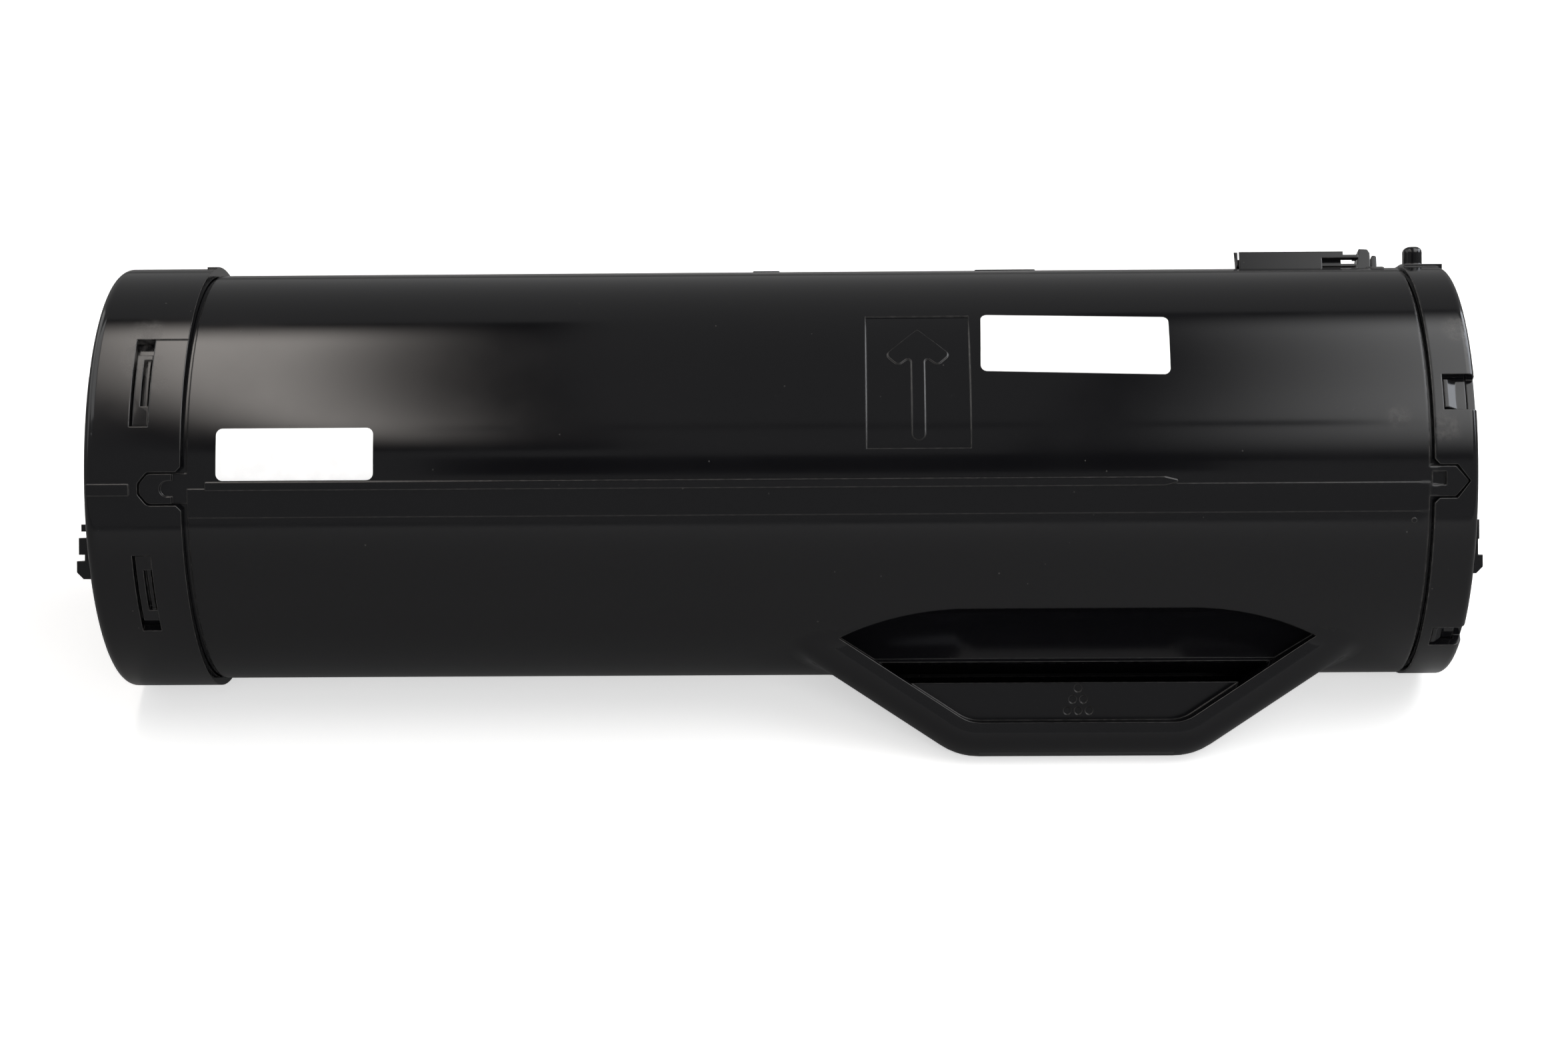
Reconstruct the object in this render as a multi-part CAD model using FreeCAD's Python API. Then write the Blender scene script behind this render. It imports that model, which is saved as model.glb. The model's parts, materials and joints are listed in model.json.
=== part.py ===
import FreeCAD, Part
import math
import os

Vector = FreeCAD.Vector
os.makedirs("parts", exist_ok=True)

# Millimetres and degrees. X runs along the toner tube from its drive-end shoulder.
# Angles go round X from the front (-Y) up over the top. The last step rolls the
# finished cartridge on to its handle and puts the origin under its middle.

# Toner tube
BODY_R = 50.0
BODY_LENGTH = 289.5
BODY_WALL = 2.6
END_WALL = 2.5
FIT_GAP = 0.3
HAIR_GAP = 0.05

# Spigots that carry the two end caps
DRIVE_STEP = 0.55
DRIVE_SPIGOT = 15.7
DRIVE_SPIGOT_WALL = 1.55
OUTLET_STEP = 1.8
OUTLET_SPIGOT = 9.2
OUTLET_SPIGOT_WALL = 1.6

# End caps
DRIVE_CAP_LENGTH = 23.0
DRIVE_CAP_WALL = 2.0
DRIVE_SEAM = 1.2
DRIVE_EDGE = 2.4
OUTLET_CAP_LENGTH = 10.3
OUTLET_CAP_WALL = 1.8
OUTLET_SEAM = 1.1
OUTLET_EDGE = 1.8

# Snap windows of the drive cap: window, pad and pad slot, as angles
WINDOWS = (((12.9, 38.8), (13.2, 33.6), (18.5, 32.2)),
           ((-45.3, -21.1), (-41.6, -21.4), (-38.1, -25.4)))
WINDOW_START = 9.0
WINDOW_WIDTH = 4.4
PAD_GAP = 0.7
PAD_SUNK = 0.3
PAD_SLOT = 2.0
WITNESS = 0.25

# Snap notches of the outlet cap: notch and hook, as angles
NOTCHES = (((15.8, 26.0), (16.6, 24.6)), ((-57.0, -48.6), (-56.0, -49.6)))
NOTCH_START = 2.5
HOOK_LENGTH = 1.8
HOOK_RISE = 1.6
NOTCH_DEPTH = 3.0

# Keys between tube and caps
KEY_ANGLE = -3.4
KEY_WIDTH = 7.0
DRIVE_KEY_LENGTH = 10.9
KEY_FORK = 3.4
KEY_MOUTH = 3.8
KEY_MOUTH_DEPTH = 2.8
KEY_FLARE = 1.2
KEY_GAP = 0.45
OUTLET_KEY_LENGTH = 9.0
OUTLET_KEY_POINT = 3.0
KEY_POCKET = 3.2
KEY_POCKET_DEPTH = 1.9
RAIL_WIDTH = 2.7
RAIL_RISE = 0.6
RAIL_LENGTH = 10.0

# Long rib, marks and the sunk arrow panel
RIB_ANGLE = -2.9
RIB_START = 4.3
RIB_BACK = 61.5
RIB_WIDTH = 1.9
RIB_RISE = 0.7
RIB_TAPER = 4.0
BAND_LOW_ANGLE = -11.4
BAND_HIGH_ANGLE = -3.6
BAND_RISE = 0.18
SIGHT_MARK_BACK = 3.5
SIGHT_MARK_ANGLE = -13.9
SIGHT_MARK_R = 0.6
TOP_PADS = ((158.3, 6.6), (103.0, 15.0))
TOP_PAD_ANGLE = 96.0
TOP_PAD_WIDTH = 3.0
TOP_PAD_RISE = 0.8
PANEL_BACK = 130.7
PANEL_WIDTH = 24.4
PANEL_LOW_ANGLE = 6.2
PANEL_HIGH_ANGLE = 47.8
PANEL_SUNK = 0.35
ARROW_STEM = 3.1
ARROW_STEM_LENGTH = 21.5
ARROW_HALF_HEAD = 7.6
ARROW_BAR = 4.2
ARROW_TIP_ANGLE = 42.4

# Blank labels
LEFT_LABEL_START = 6.8
LEFT_LABEL_LENGTH = 36.8
LEFT_LABEL_WIDTH = 12.3
LEFT_LABEL_ANGLE = 5.6
RIGHT_LABEL_BACK = 103.6
RIGHT_LABEL_LENGTH = 44.4
RIGHT_LABEL_WIDTH = 17.3
RIGHT_LABEL_ANGLE = 37.2
RIGHT_LABEL_SLANT = -1.6
LABEL_THICK = 0.15
LABEL_LIFT = 0.03
LABEL_CORNER = 1.6

# Scoop handle
HANDLE_BACK = 80.6
MOUTH_HALF = 58.65
MOUTH_CORNER_ANGLE = -52.3
MOUTH_TOP_ANGLE = -40.5
MOUTH_TOP_HALF = 24.5
MOUTH_DROP = 10.4
MOUTH_SLOPE = 33.3
MOUTH_CORNER_R = 9.0
RIM_LAND = 1.0
RIM_FRONT = 31.0
SCOOP_SIDE = 7.6
SCOOP_BOTTOM = 8.2
NOSE_R = 7.6
BACK_EDGE_R = 5.0
ROOT_R = 8.0
SCOOP_WALL = 2.2
RECESS_DEPTH = 4.1
RECESS_LIP_ANGLE = -64.5
RECESS_WALL = 1.8
LIP_RISE = 0.9
GRIP_DEPTH = 8.6
GRIP_THICK = 1.8
SLOT_HEIGHT = 5.0
POCKET_BACK = 6.0
DOT_R = 0.95
DOT_PITCH = 2.63
DOT_ROW = 2.7
DOT_SUNK = 0.4
DOT_SHIFT = 0.8
SMALLEST_CORNER = 5.0

# Toner outlet with its sliding shutter
PORT_ANGLE = 105.0
PORT_BACK = 16.7
PORT_LENGTH = 12.0
PORT_WIDTH = 10.0
FRAME_BACK = 7.4
FRAME_LENGTH = 29.7
FRAME_WIDTH = 18.0
FRAME_TOP = 4.2
FRAME_WALL = 1.8
FRAME_LIP = 2.2
FRAME_LIP_THICK = 1.2
SEAL_MARGIN = 2.2
SEAL_TOP = 0.75
SHUTTER_THICK = 1.9
SHUTTER_TRAVEL = 19.5
SHUTTER_GAP = 0.2
SHUTTER_NOSE = 1.0
FRAME_SKEW = 3.2
TAB_LENGTH = 3.6
TAB_SLANT = 0.9
TAB_RISE = 6.9
TAB_WIDTH = 6.0
STOP_LENGTH = 1.3
STOP_RISE = 5.1
STOP_PAD_GAP = 1.1
STOP_PAD_LENGTH = 3.0
STOP_PAD_RISE = 0.35
STOP_PAD_ANGLES = (80.5, 96.0)
SIGHT_SLOT = 9.1
SIGHT_SLOT_TOP = 2.5
FRAME_LOW_LENGTH = 3.8
FRAME_LOW_STEP = 0.9
SHUTTER_BEVEL = 3.7

# Guide lugs and peg that lead the cartridge into the machine
LUG_INSET = 11.75
LUG_DEPTH = 12.0
DRIVE_LUGS = ((-18.5, -14.5, 3.6), (-20.0, -18.5, 2.2), (-24.3, -20.0, 4.1))
DRIVE_NUB = (-13.0, -11.3, 3.0)
OUTLET_LUGS = ((-16.6, -12.0, 1.9), (-20.3, -16.6, 1.6), (-24.7, -20.3, 2.7))
LUG_CHAMFER = 1.6
PEG_X = 1.65
PEG_LENGTH = 4.5
PEG_WIDTH = 6.0
PEG_HEIGHT = 5.15
PEG_CROWN = 1.4
PEG_CORNER = 2.1
PEG_PAD = 0.6
PEG_ANGLE = 90.0
PEG_PAD_SPREAD = 6.0
RIM_LIP = 0.5
RIM_LIP_LOW = 84.0
RIM_LIP_HIGH = 140.0
FACE_RING = 16.0
FACE_RING_SUNK = 0.6
FACE_RING_INNER = 15.0

# Memory chip seat on the back of the tube
CHIP_X = 24.0
CHIP_ANGLE = 142.0
CHIP_LENGTH = 14.0
CHIP_WIDTH = 11.0
CHIP_BOARD = 0.9
CHIP_SEAT_WALL = 1.4
CHIP_SEAT_RISE = 2.2
CHIP_PAD = 0.12
CHIP_PADS = 4

# End plate, bearings and fill plug
PLATE_SEAT = 6.7
PLATE_THICK = 3.0
PLATE_RIB = 1.6
BUSH_R = 6.5
BUSH_FLANGE = 0.5
BUSH_FLANGE_R = 8.0
SEAL_RING_R = 9.0
SEAL_RING_THICK = 2.5
SEAL_CUP_WALL = 1.4
GASKET_WIDTH = 1.6
GASKET_THICK = 1.0
FILL_R = 11.0
FILL_Y = 18.0
FILL_Z = 14.0
FILL_PLUG_WALL = 1.4
FILL_PLUG_DEPTH = 5.5
FILL_FLANGE = 2.0

# Gear train, module 1: coupling pinion, compound idler and agitator gear
MODULE = 1.0
PRESSURE = 20.0
BACKLASH = 0.1
PINION_TEETH = 18
IDLER_BIG_TEETH = 34
IDLER_SMALL_TEETH = 16
AGITATOR_TEETH = 36
IDLER_ANGLE = -40.0
GEAR_WIDTH = 4.6
GEAR_GAP = 0.6
STUD_R = 2.5
HUB_WALL = 2.0

# Drive coupling
COUPLING_R = 8.95
COUPLING_STICKS_OUT = 3.5
COUPLING_FLANGE_R = 11.5
COUPLING_FLANGE = 0.9
CUP_DEPTH = 5.0
CUP_WALL = 1.6
PILOT_R = 3.0
PILOT_WALL = 1.2
DOGS = 3
DOG_ANGLE = 32.0
NOSE_PIN_R = 2.5
NOSE_PIN_LENGTH = 4.0

# Agitator
SHAFT_R = 4.0
SHAFT_D_R = 3.5
SHAFT_FLAT = 1.0
TAIL_R = 3.0
TAIL_LENGTH = 4.5
TAIL_BOSS_WALL = 2.0
ARMS = 6
ARM_BACK = 14.4
ARM_THICK = 3.0
ARM_START = 8.0
ARM_END_GAP = 6.0
BAR_WIDTH = 4.0
FILM_THICK = 0.35
FILM_BACK = 0.7
FILM_LOW_BACK = 0.9
FILM_STEP_MARGIN = 4.0
CLAMP_THICK = 1.0
CLAMP_WIDTH = 3.0
PEGS_PER_BAR = 5
FILM_SLITS = 8

# Radii and places that follow from the values above
TUBE_BORE = BODY_R - BODY_WALL
DRIVE_SPIGOT_R = BODY_R - DRIVE_STEP
DRIVE_CAP_BORE = DRIVE_SPIGOT_R + FIT_GAP
DRIVE_CAP_R = DRIVE_CAP_BORE + DRIVE_CAP_WALL
DRIVE_RIM = -DRIVE_SEAM
DRIVE_END = DRIVE_RIM - DRIVE_CAP_LENGTH
DRIVE_END_INSIDE = DRIVE_END + DRIVE_CAP_WALL
OUTLET_SPIGOT_R = BODY_R - OUTLET_STEP
OUTLET_CAP_BORE = OUTLET_SPIGOT_R + FIT_GAP
OUTLET_CAP_R = OUTLET_CAP_BORE + OUTLET_CAP_WALL
OUTLET_RIM = BODY_LENGTH + OUTLET_SEAM
OUTLET_END = OUTLET_RIM + OUTLET_CAP_LENGTH
OUTLET_END_INSIDE = OUTLET_END - OUTLET_CAP_WALL
WINDOW_RIGHT = DRIVE_RIM - WINDOW_START + 1.2
WINDOW_LEFT = WINDOW_RIGHT - WINDOW_WIDTH
PLATE_R = DRIVE_SPIGOT_R - DRIVE_SPIGOT_WALL
PLATE_INNER = -PLATE_SEAT
PLATE_OUTER = PLATE_INNER - PLATE_THICK
CENTRES = MODULE * (AGITATOR_TEETH + IDLER_SMALL_TEETH) / 2
GEAR_B_INNER = PLATE_OUTER - BUSH_FLANGE - FIT_GAP
GEAR_B_OUTER = GEAR_B_INNER - GEAR_WIDTH
GEAR_A_INNER = GEAR_B_OUTER - GEAR_GAP
GEAR_A_OUTER = GEAR_A_INNER - GEAR_WIDTH
FLANGE_OUTER = DRIVE_END_INSIDE + FIT_GAP
COUPLING_FACE = DRIVE_END - COUPLING_STICKS_OUT
MOUTH_BOTTOM = -(BODY_R + MOUTH_DROP)
NOSE_CENTRE_Y = -RIM_FRONT + NOSE_R
NOSE_CENTRE_Z = MOUTH_BOTTOM - SCOOP_BOTTOM + NOSE_R
HANDLE_X = BODY_LENGTH - HANDLE_BACK
PANEL_START = BODY_LENGTH - PANEL_BACK
PORT_X = BODY_LENGTH - PORT_BACK
FRAME_END = BODY_LENGTH - FRAME_BACK
FRAME_START = FRAME_END - FRAME_LENGTH
LUG_FRONT = DRIVE_CAP_R - LUG_INSET
ARM_REACH = TUBE_BORE - ARM_BACK
FILM_REACH = TUBE_BORE - FILM_BACK
FILM_LOW_REACH = BODY_R - RECESS_DEPTH - RECESS_WALL - FILM_LOW_BACK
SLIDE_BED = BODY_R + SEAL_TOP + SHUTTER_GAP
FAR = 400.0


def polar(radius, angle):
    """Y and Z of a point at this radius and angle round the tube."""
    turn = math.radians(angle)
    return -radius * math.cos(turn), radius * math.sin(turn)


def point(x, radius, angle):
    y, z = polar(radius, angle)
    return Vector(x, y, z)


def disc(start, end, radius, y=0.0, z=0.0):
    return Part.makeCylinder(radius, end - start, Vector(start, y, z), Vector(1, 0, 0))


def ring(start, end, outer, inner):
    return disc(start, end, outer).cut(disc(start, end, inner))


def block(x, y, z):
    """A box from its (low, high) pairs."""
    return Part.makeBox(x[1] - x[0], y[1] - y[0], z[1] - z[0], Vector(x[0], y[0], z[0]))


def sector(start, end, inner, outer, low, high):
    """A piece of ring between two angles."""
    middle = (low + high) / 2
    corners = [point(start, inner, low), point(start, outer, low),
               point(start, outer, high), point(start, inner, high)]
    edges = [Part.LineSegment(corners[0], corners[1]),
             Part.Arc(corners[1], point(start, outer, middle), corners[2]),
             Part.LineSegment(corners[2], corners[3]),
             Part.Arc(corners[3], point(start, inner, middle), corners[0])]
    face = Part.Face(Part.Wire([edge.toShape() for edge in edges]))
    return face.extrude(Vector(end - start, 0, 0))


def turned(shape, angle):
    """Moves a shape modelled on top of the tube round to this angle."""
    copy = shape.copy()
    copy.rotate(Vector(0, 0, 0), Vector(1, 0, 0), 90.0 - angle)
    return copy


def mirrored_angles(low, high):
    return 180.0 - high, 180.0 - low


def fused(shapes):
    result = shapes[0]
    if len(shapes) > 1:
        result = result.multiFuse(shapes[1:])
    return result.removeSplitter()


def rounded_wire(points, radii, lift):
    """A closed outline of straight runs with each corner rounded by its own radius."""
    runs = []
    count = len(points)
    for index, corner in enumerate(points):
        before = points[index - 1]
        after = points[(index + 1) % count]
        radius = radii[index]
        if radius <= 0:
            runs.append((corner, None, corner))
            continue
        to_before = (before[0] - corner[0], before[1] - corner[1])
        to_after = (after[0] - corner[0], after[1] - corner[1])
        size_before = math.hypot(*to_before)
        size_after = math.hypot(*to_after)
        a = (to_before[0] / size_before, to_before[1] / size_before)
        b = (to_after[0] / size_after, to_after[1] / size_after)
        half = math.acos(max(-1.0, min(1.0, a[0] * b[0] + a[1] * b[1]))) / 2
        back = radius / math.tan(half)
        bisector = (a[0] + b[0], a[1] + b[1])
        length = math.hypot(*bisector)
        reach = radius / math.sin(half) - radius
        first = (corner[0] + a[0] * back, corner[1] + a[1] * back)
        last = (corner[0] + b[0] * back, corner[1] + b[1] * back)
        middle = (corner[0] + bisector[0] / length * reach,
                  corner[1] + bisector[1] / length * reach)
        runs.append((first, middle, last))
    edges = []
    for index, (first, middle, last) in enumerate(runs):
        if middle is not None:
            edges.append(Part.Arc(lift(*first), lift(*middle), lift(*last)).toShape())
        following = runs[(index + 1) % count][0]
        edges.append(Part.LineSegment(lift(*last), lift(*following)).toShape())
    return Part.Wire(edges)


def on_shell(wire_points, radii, inner, outer, angle):
    """An outline drawn on the tube at this angle, as solid between two radii."""
    wire = rounded_wire(wire_points, radii, lambda x, t: Vector(x, t, inner * 0.7))
    prism = Part.Face(wire).extrude(Vector(0, 0, outer))
    xs = [p[0] for p in wire_points]
    shell = ring(min(xs) - 1, max(xs) + 1, outer, inner)
    return turned(prism.common(shell), angle)


def arc_height(angle_from, angle_to):
    """Height across the tangent plane from one angle to another."""
    return BODY_R * math.sin(math.radians(angle_to - angle_from))


def gear_face(teeth, phase, x, y=0.0, z=0.0):
    """The face of a spur gear with involute flanks, one tooth centred at the phase angle."""
    pitch = MODULE * teeth / 2
    base = pitch * math.cos(math.radians(PRESSURE))
    tip = pitch + MODULE
    root = pitch - 1.25 * MODULE

    def involute(radius):
        slope = math.acos(min(1.0, base / radius))
        return math.tan(slope) - slope

    half_at_pitch = (math.pi * MODULE / 2 - BACKLASH) / (2 * pitch)

    def half_width(radius):
        return half_at_pitch + involute(pitch) - involute(radius)

    def place(radius, turn):
        return Vector(x, y - radius * math.cos(turn), z + radius * math.sin(turn))

    start = max(base, root + 0.1 * MODULE)
    middle = (start + tip) / 2
    edges = []
    step = 2 * math.pi / teeth
    for tooth in range(teeth):
        centre = math.radians(phase) + tooth * step
        foot = half_width(start)
        low_root = place(root, centre - foot)
        low = place(start, centre - foot)
        low_mid = place(middle, centre - half_width(middle))
        low_tip = place(tip, centre - half_width(tip))
        high_tip = place(tip, centre + half_width(tip))
        high_mid = place(middle, centre + half_width(middle))
        high = place(start, centre + foot)
        high_root = place(root, centre + foot)
        next_root = place(root, centre + step - foot)
        edges.append(Part.LineSegment(low_root, low).toShape())
        edges.append(Part.Arc(low, low_mid, low_tip).toShape())
        edges.append(Part.LineSegment(low_tip, high_tip).toShape())
        edges.append(Part.Arc(high_tip, high_mid, high).toShape())
        edges.append(Part.LineSegment(high, high_root).toShape())
        edges.append(Part.LineSegment(high_root, next_root).toShape())
    return Part.Face(Part.Wire(edges))


def spur_gear(start, end, teeth, phase, y=0.0, z=0.0):
    return gear_face(teeth, phase, start, y, z).extrude(Vector(end - start, 0, 0))


# Scoop handle

def mouth_points(side, below):
    """Half width at any height, and bottom, of the mouth grown outwards by these amounts."""
    slope = math.radians(MOUTH_SLOPE)
    corner_z = polar(BODY_R, MOUTH_CORNER_ANGLE)[1]
    bottom = MOUTH_BOTTOM - below

    def half(z):
        return MOUTH_HALF - (corner_z - z) / math.tan(slope) + side / math.sin(slope)

    return half, bottom


def scoop_prism(side, below, front, back, top):
    """The trapezium with rounded lower corners, drawn along Y."""
    half, bottom = mouth_points(side, below)
    radius = max(SMALLEST_CORNER, MOUTH_CORNER_R + side)
    points = [(-half(top), top), (-half(bottom), bottom), (half(bottom), bottom), (half(top), top)]
    wire = rounded_wire(points, [0, radius, radius, 0], lambda u, z: Vector(HANDLE_X + u, front, z))
    return Part.Face(wire).extrude(Vector(0, back - front, 0))


def flank_normal():
    """Outward normal, in Y and Z, of the flat flank that runs from the nose to the tube."""
    distance = math.hypot(NOSE_CENTRE_Y, NOSE_CENTRE_Z)
    lean = math.atan2(-NOSE_CENTRE_Y, -NOSE_CENTRE_Z)
    spread = math.acos((BODY_R - NOSE_R) / distance)
    return math.sin(spread - lean), -math.cos(spread - lean)


def below_flank(wall):
    """Everything under the flank, moved inwards by a wall, to cut away."""
    normal_y, normal_z = flank_normal()
    low = -BODY_R * 3
    reach = BODY_R - wall

    def height(y):
        return (reach - normal_y * y) / normal_z

    far = BODY_R * 2
    corners = [(-far, height(-far)), (far, height(far)), (far, low), (-far, low)]
    outline = [Vector(HANDLE_X - FAR / 2, y, z) for y, z in corners]
    return Part.Face(Part.makePolygon(outline + outline[:1])).extrude(Vector(FAR, 0, 0))


def scoop_outside():
    """The boss of the handle: front edge rounded to the nose, back cut along the flank."""
    normal_y = flank_normal()[0]
    back = BODY_R * normal_y - 0.2
    top = polar(BODY_R, MOUTH_TOP_ANGLE)[1] + 2
    boss = scoop_prism(SCOOP_SIDE, SCOOP_BOTTOM, -RIM_FRONT, back, top)
    front = [edge for edge in boss.Edges
             if all(abs(v.Y + RIM_FRONT) < 0.01 for v in edge.Vertexes)
             and min(v.Z for v in edge.Vertexes) < top - 0.01]
    boss = boss.makeFillet(NOSE_R, front).cut(below_flank(0))
    normal_z = flank_normal()[1]
    sides = []
    for edge in boss.Edges:
        ends = [edge.valueAt(edge.FirstParameter), edge.valueAt(edge.LastParameter)]
        on_flank = all(abs(normal_y * p.y + normal_z * p.z - BODY_R) < 0.02 for p in ends)
        if on_flank and abs(ends[0].y - ends[1].y) > 0.1:
            sides.append(edge)
    return boss.makeFillet(BACK_EDGE_R, sides)


def tube_with_scoop():
    """The tube and the handle's boss, with the inner corner between them rounded."""
    solid = disc(0, BODY_LENGTH, BODY_R).fuse(scoop_outside()).removeSplitter()
    roots = []
    for face in solid.Faces:
        if isinstance(face.Surface, Part.Cylinder) and abs(face.Surface.Radius - BODY_R) < 0.001:
            for edge in face.Edges:
                middle = edge.valueAt((edge.FirstParameter + edge.LastParameter) / 2)
                if 1 < middle.x < BODY_LENGTH - 1 and not isinstance(edge.Curve, Part.Line):
                    roots.append(edge)
    return solid.makeFillet(ROOT_R, roots)


def grip_front():
    return -RIM_FRONT + GRIP_DEPTH


def scoop_pocket():
    """The space behind the grip plate, under the tube."""
    back_of_grip = grip_front() + GRIP_THICK
    top = -BODY_R * 0.86
    side = SCOOP_SIDE - SCOOP_WALL
    pocket = scoop_prism(side, SCOOP_BOTTOM - SCOOP_WALL, back_of_grip, POCKET_BACK, top)
    pocket = pocket.cut(below_flank(SCOOP_WALL))
    half, bottom = mouth_points(-RIM_LAND, -RIM_LAND)
    sill = grip_top()
    corners = [(-half(top), top), (-half(sill), sill), (half(sill), sill), (half(top), top)]
    outline = [Vector(HANDLE_X + u, grip_front() - 1, z) for u, z in corners]
    slot = Part.Face(Part.makePolygon(outline + outline[:1])).extrude(
        Vector(0, GRIP_THICK + 2, 0))
    return pocket.fuse(slot)


def grip_top():
    lip_z = polar(BODY_R + LIP_RISE, RECESS_LIP_ANGLE)[1]
    return lip_z - SLOT_HEIGHT


def recess_cutter(grow):
    """The finger recess: the mouth's outline seen from the front, as deep as its curved floor."""
    corner_z = polar(BODY_R, MOUTH_CORNER_ANGLE)[1]
    top_z = polar(BODY_R, MOUTH_TOP_ANGLE)[1] + grow
    half, bottom = mouth_points(grow - RIM_LAND, grow - RIM_LAND * 0.4)
    wide = half(corner_z)
    side_radius = (MOUTH_HALF - MOUTH_TOP_HALF) ** 2
    rise = top_z - corner_z
    radius = (side_radius + rise ** 2) / (2 * rise)
    half_turn = math.asin((wide - MOUTH_TOP_HALF) / radius) / 2
    mid_u = MOUTH_TOP_HALF + radius * math.sin(half_turn)
    mid_z = top_z - radius * (1 - math.cos(half_turn))
    front = -BODY_R - 20

    def at(u, z):
        return Vector(HANDLE_X + u, front, z)

    corner_r = MOUTH_CORNER_R
    slope = math.radians(MOUTH_SLOPE)
    back = corner_r * math.tan(slope / 2)
    low = half(bottom)
    knee = (low + back * math.cos(slope), bottom + back * math.sin(slope))
    foot = (low - back, bottom)
    sweep = slope / 2
    mid = (foot[0] + corner_r * math.sin(sweep), bottom + corner_r * (1 - math.cos(sweep)))
    edges = [Part.Arc(at(-wide, corner_z), at(-mid_u, mid_z), at(-MOUTH_TOP_HALF, top_z)),
             Part.LineSegment(at(-MOUTH_TOP_HALF, top_z), at(MOUTH_TOP_HALF, top_z)),
             Part.Arc(at(MOUTH_TOP_HALF, top_z), at(mid_u, mid_z), at(wide, corner_z)),
             Part.LineSegment(at(wide, corner_z), at(*knee)),
             Part.Arc(at(*knee), at(*mid), at(*foot)),
             Part.LineSegment(at(*foot), at(-foot[0], bottom)),
             Part.Arc(at(-foot[0], bottom), at(-mid[0], mid[1]), at(-knee[0], knee[1])),
             Part.LineSegment(at(-knee[0], knee[1]), at(-wide, corner_z))]
    outline = Part.Face(Part.Wire([edge.toShape() for edge in edges]))
    prism = outline.extrude(Vector(0, BODY_R + 20, 0))
    left = HANDLE_X - FAR / 2
    spread = math.degrees(grow / BODY_R)
    deepest = (MOUTH_TOP_ANGLE + RECESS_LIP_ANGLE) / 2
    start = point(left, BODY_R + 0.6, MOUTH_TOP_ANGLE + 3 + spread)
    middle = point(left, BODY_R - RECESS_DEPTH - grow, deepest)
    end = point(left, BODY_R, RECESS_LIP_ANGLE - spread)
    floor_y = grip_front()
    below = bottom - 10
    path = [Part.Arc(start, middle, end),
            Part.LineSegment(end, Vector(left, floor_y, end.z - 0.8)),
            Part.LineSegment(Vector(left, floor_y, end.z - 0.8), Vector(left, floor_y, below)),
            Part.LineSegment(Vector(left, floor_y, below), Vector(left, front, below)),
            Part.LineSegment(Vector(left, front, below), Vector(left, front, start.z)),
            Part.LineSegment(Vector(left, front, start.z), start)]
    side = Part.Face(Part.Wire([edge.toShape() for edge in path]))
    return prism.common(side.extrude(Vector(FAR, 0, 0)))


def toner_dots():
    """Six round marks in a triangle, sunk into the grip plate."""
    top = grip_top() - 1.4
    dots = []
    for row in range(3):
        for place in range(row + 1):
            x = HANDLE_X + DOT_SHIFT + (place - row / 2) * DOT_PITCH
            centre = Vector(x, grip_front() - 1, top - row * DOT_ROW)
            dots.append(Part.makeCylinder(DOT_R, 1 + DOT_SUNK, centre, Vector(0, 1, 0)))
    return dots


# Keys, pads, ribs and marks of the tube

def drive_key(grow):
    """Outline of the key that fills the drive cap's notch, grown by the gap."""
    half = KEY_WIDTH / 2 + grow
    tip = -DRIVE_KEY_LENGTH - grow
    nose = half * 0.55
    return [(0.5, -half), (tip + nose, -half), (tip, -nose * 0.6), (tip, nose * 0.6),
            (tip + nose, half), (0.5, half)], [0, 1.5, 1.2, 1.2, 1.5, 0]


def drive_keys():
    points, radii = drive_key(0)
    whole = on_shell(points, radii, DRIVE_SPIGOT_R - 0.5, DRIVE_CAP_R - PAD_SUNK, KEY_ANGLE)
    mouth = sector(-KEY_FORK, 1, BODY_R, DRIVE_CAP_R, KEY_ANGLE - 8, KEY_ANGLE + 8)
    half = KEY_MOUTH / 2
    tip = -KEY_FORK - KEY_MOUTH_DEPTH
    finger = [(0, -half), (tip, -half), (tip, half), (0, half)]
    fork = on_shell(finger, [0, half * 0.95, half * 0.95, 0], BODY_R, DRIVE_CAP_R + 1, KEY_ANGLE)
    return whole.cut(mouth).cut(fork)


def outlet_key(grow):
    half = KEY_WIDTH / 2 + grow
    tip = BODY_LENGTH + OUTLET_KEY_LENGTH + grow
    shoulder = tip - OUTLET_KEY_POINT
    return [(BODY_LENGTH - 0.5, -half), (shoulder, -half), (tip, 0), (shoulder, half),
            (BODY_LENGTH - 0.5, half)], [0, 0.5, 0.5, 0.5, 0]


def outlet_keys():
    points, radii = outlet_key(0)
    whole = on_shell(points, radii, OUTLET_SPIGOT_R - 0.5, OUTLET_CAP_R - PAD_SUNK, KEY_ANGLE)
    start = BODY_LENGTH + 0.6
    low = [(start, -KEY_POCKET / 2), (start + KEY_POCKET, -KEY_POCKET / 2),
           (start + KEY_POCKET, KEY_POCKET / 2), (start, KEY_POCKET / 2)]
    pocket = on_shell(low, [0] * 4, OUTLET_CAP_R - KEY_POCKET_DEPTH, OUTLET_CAP_R + 1,
                      KEY_ANGLE + 0.8)
    return whole.cut(pocket)


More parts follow.
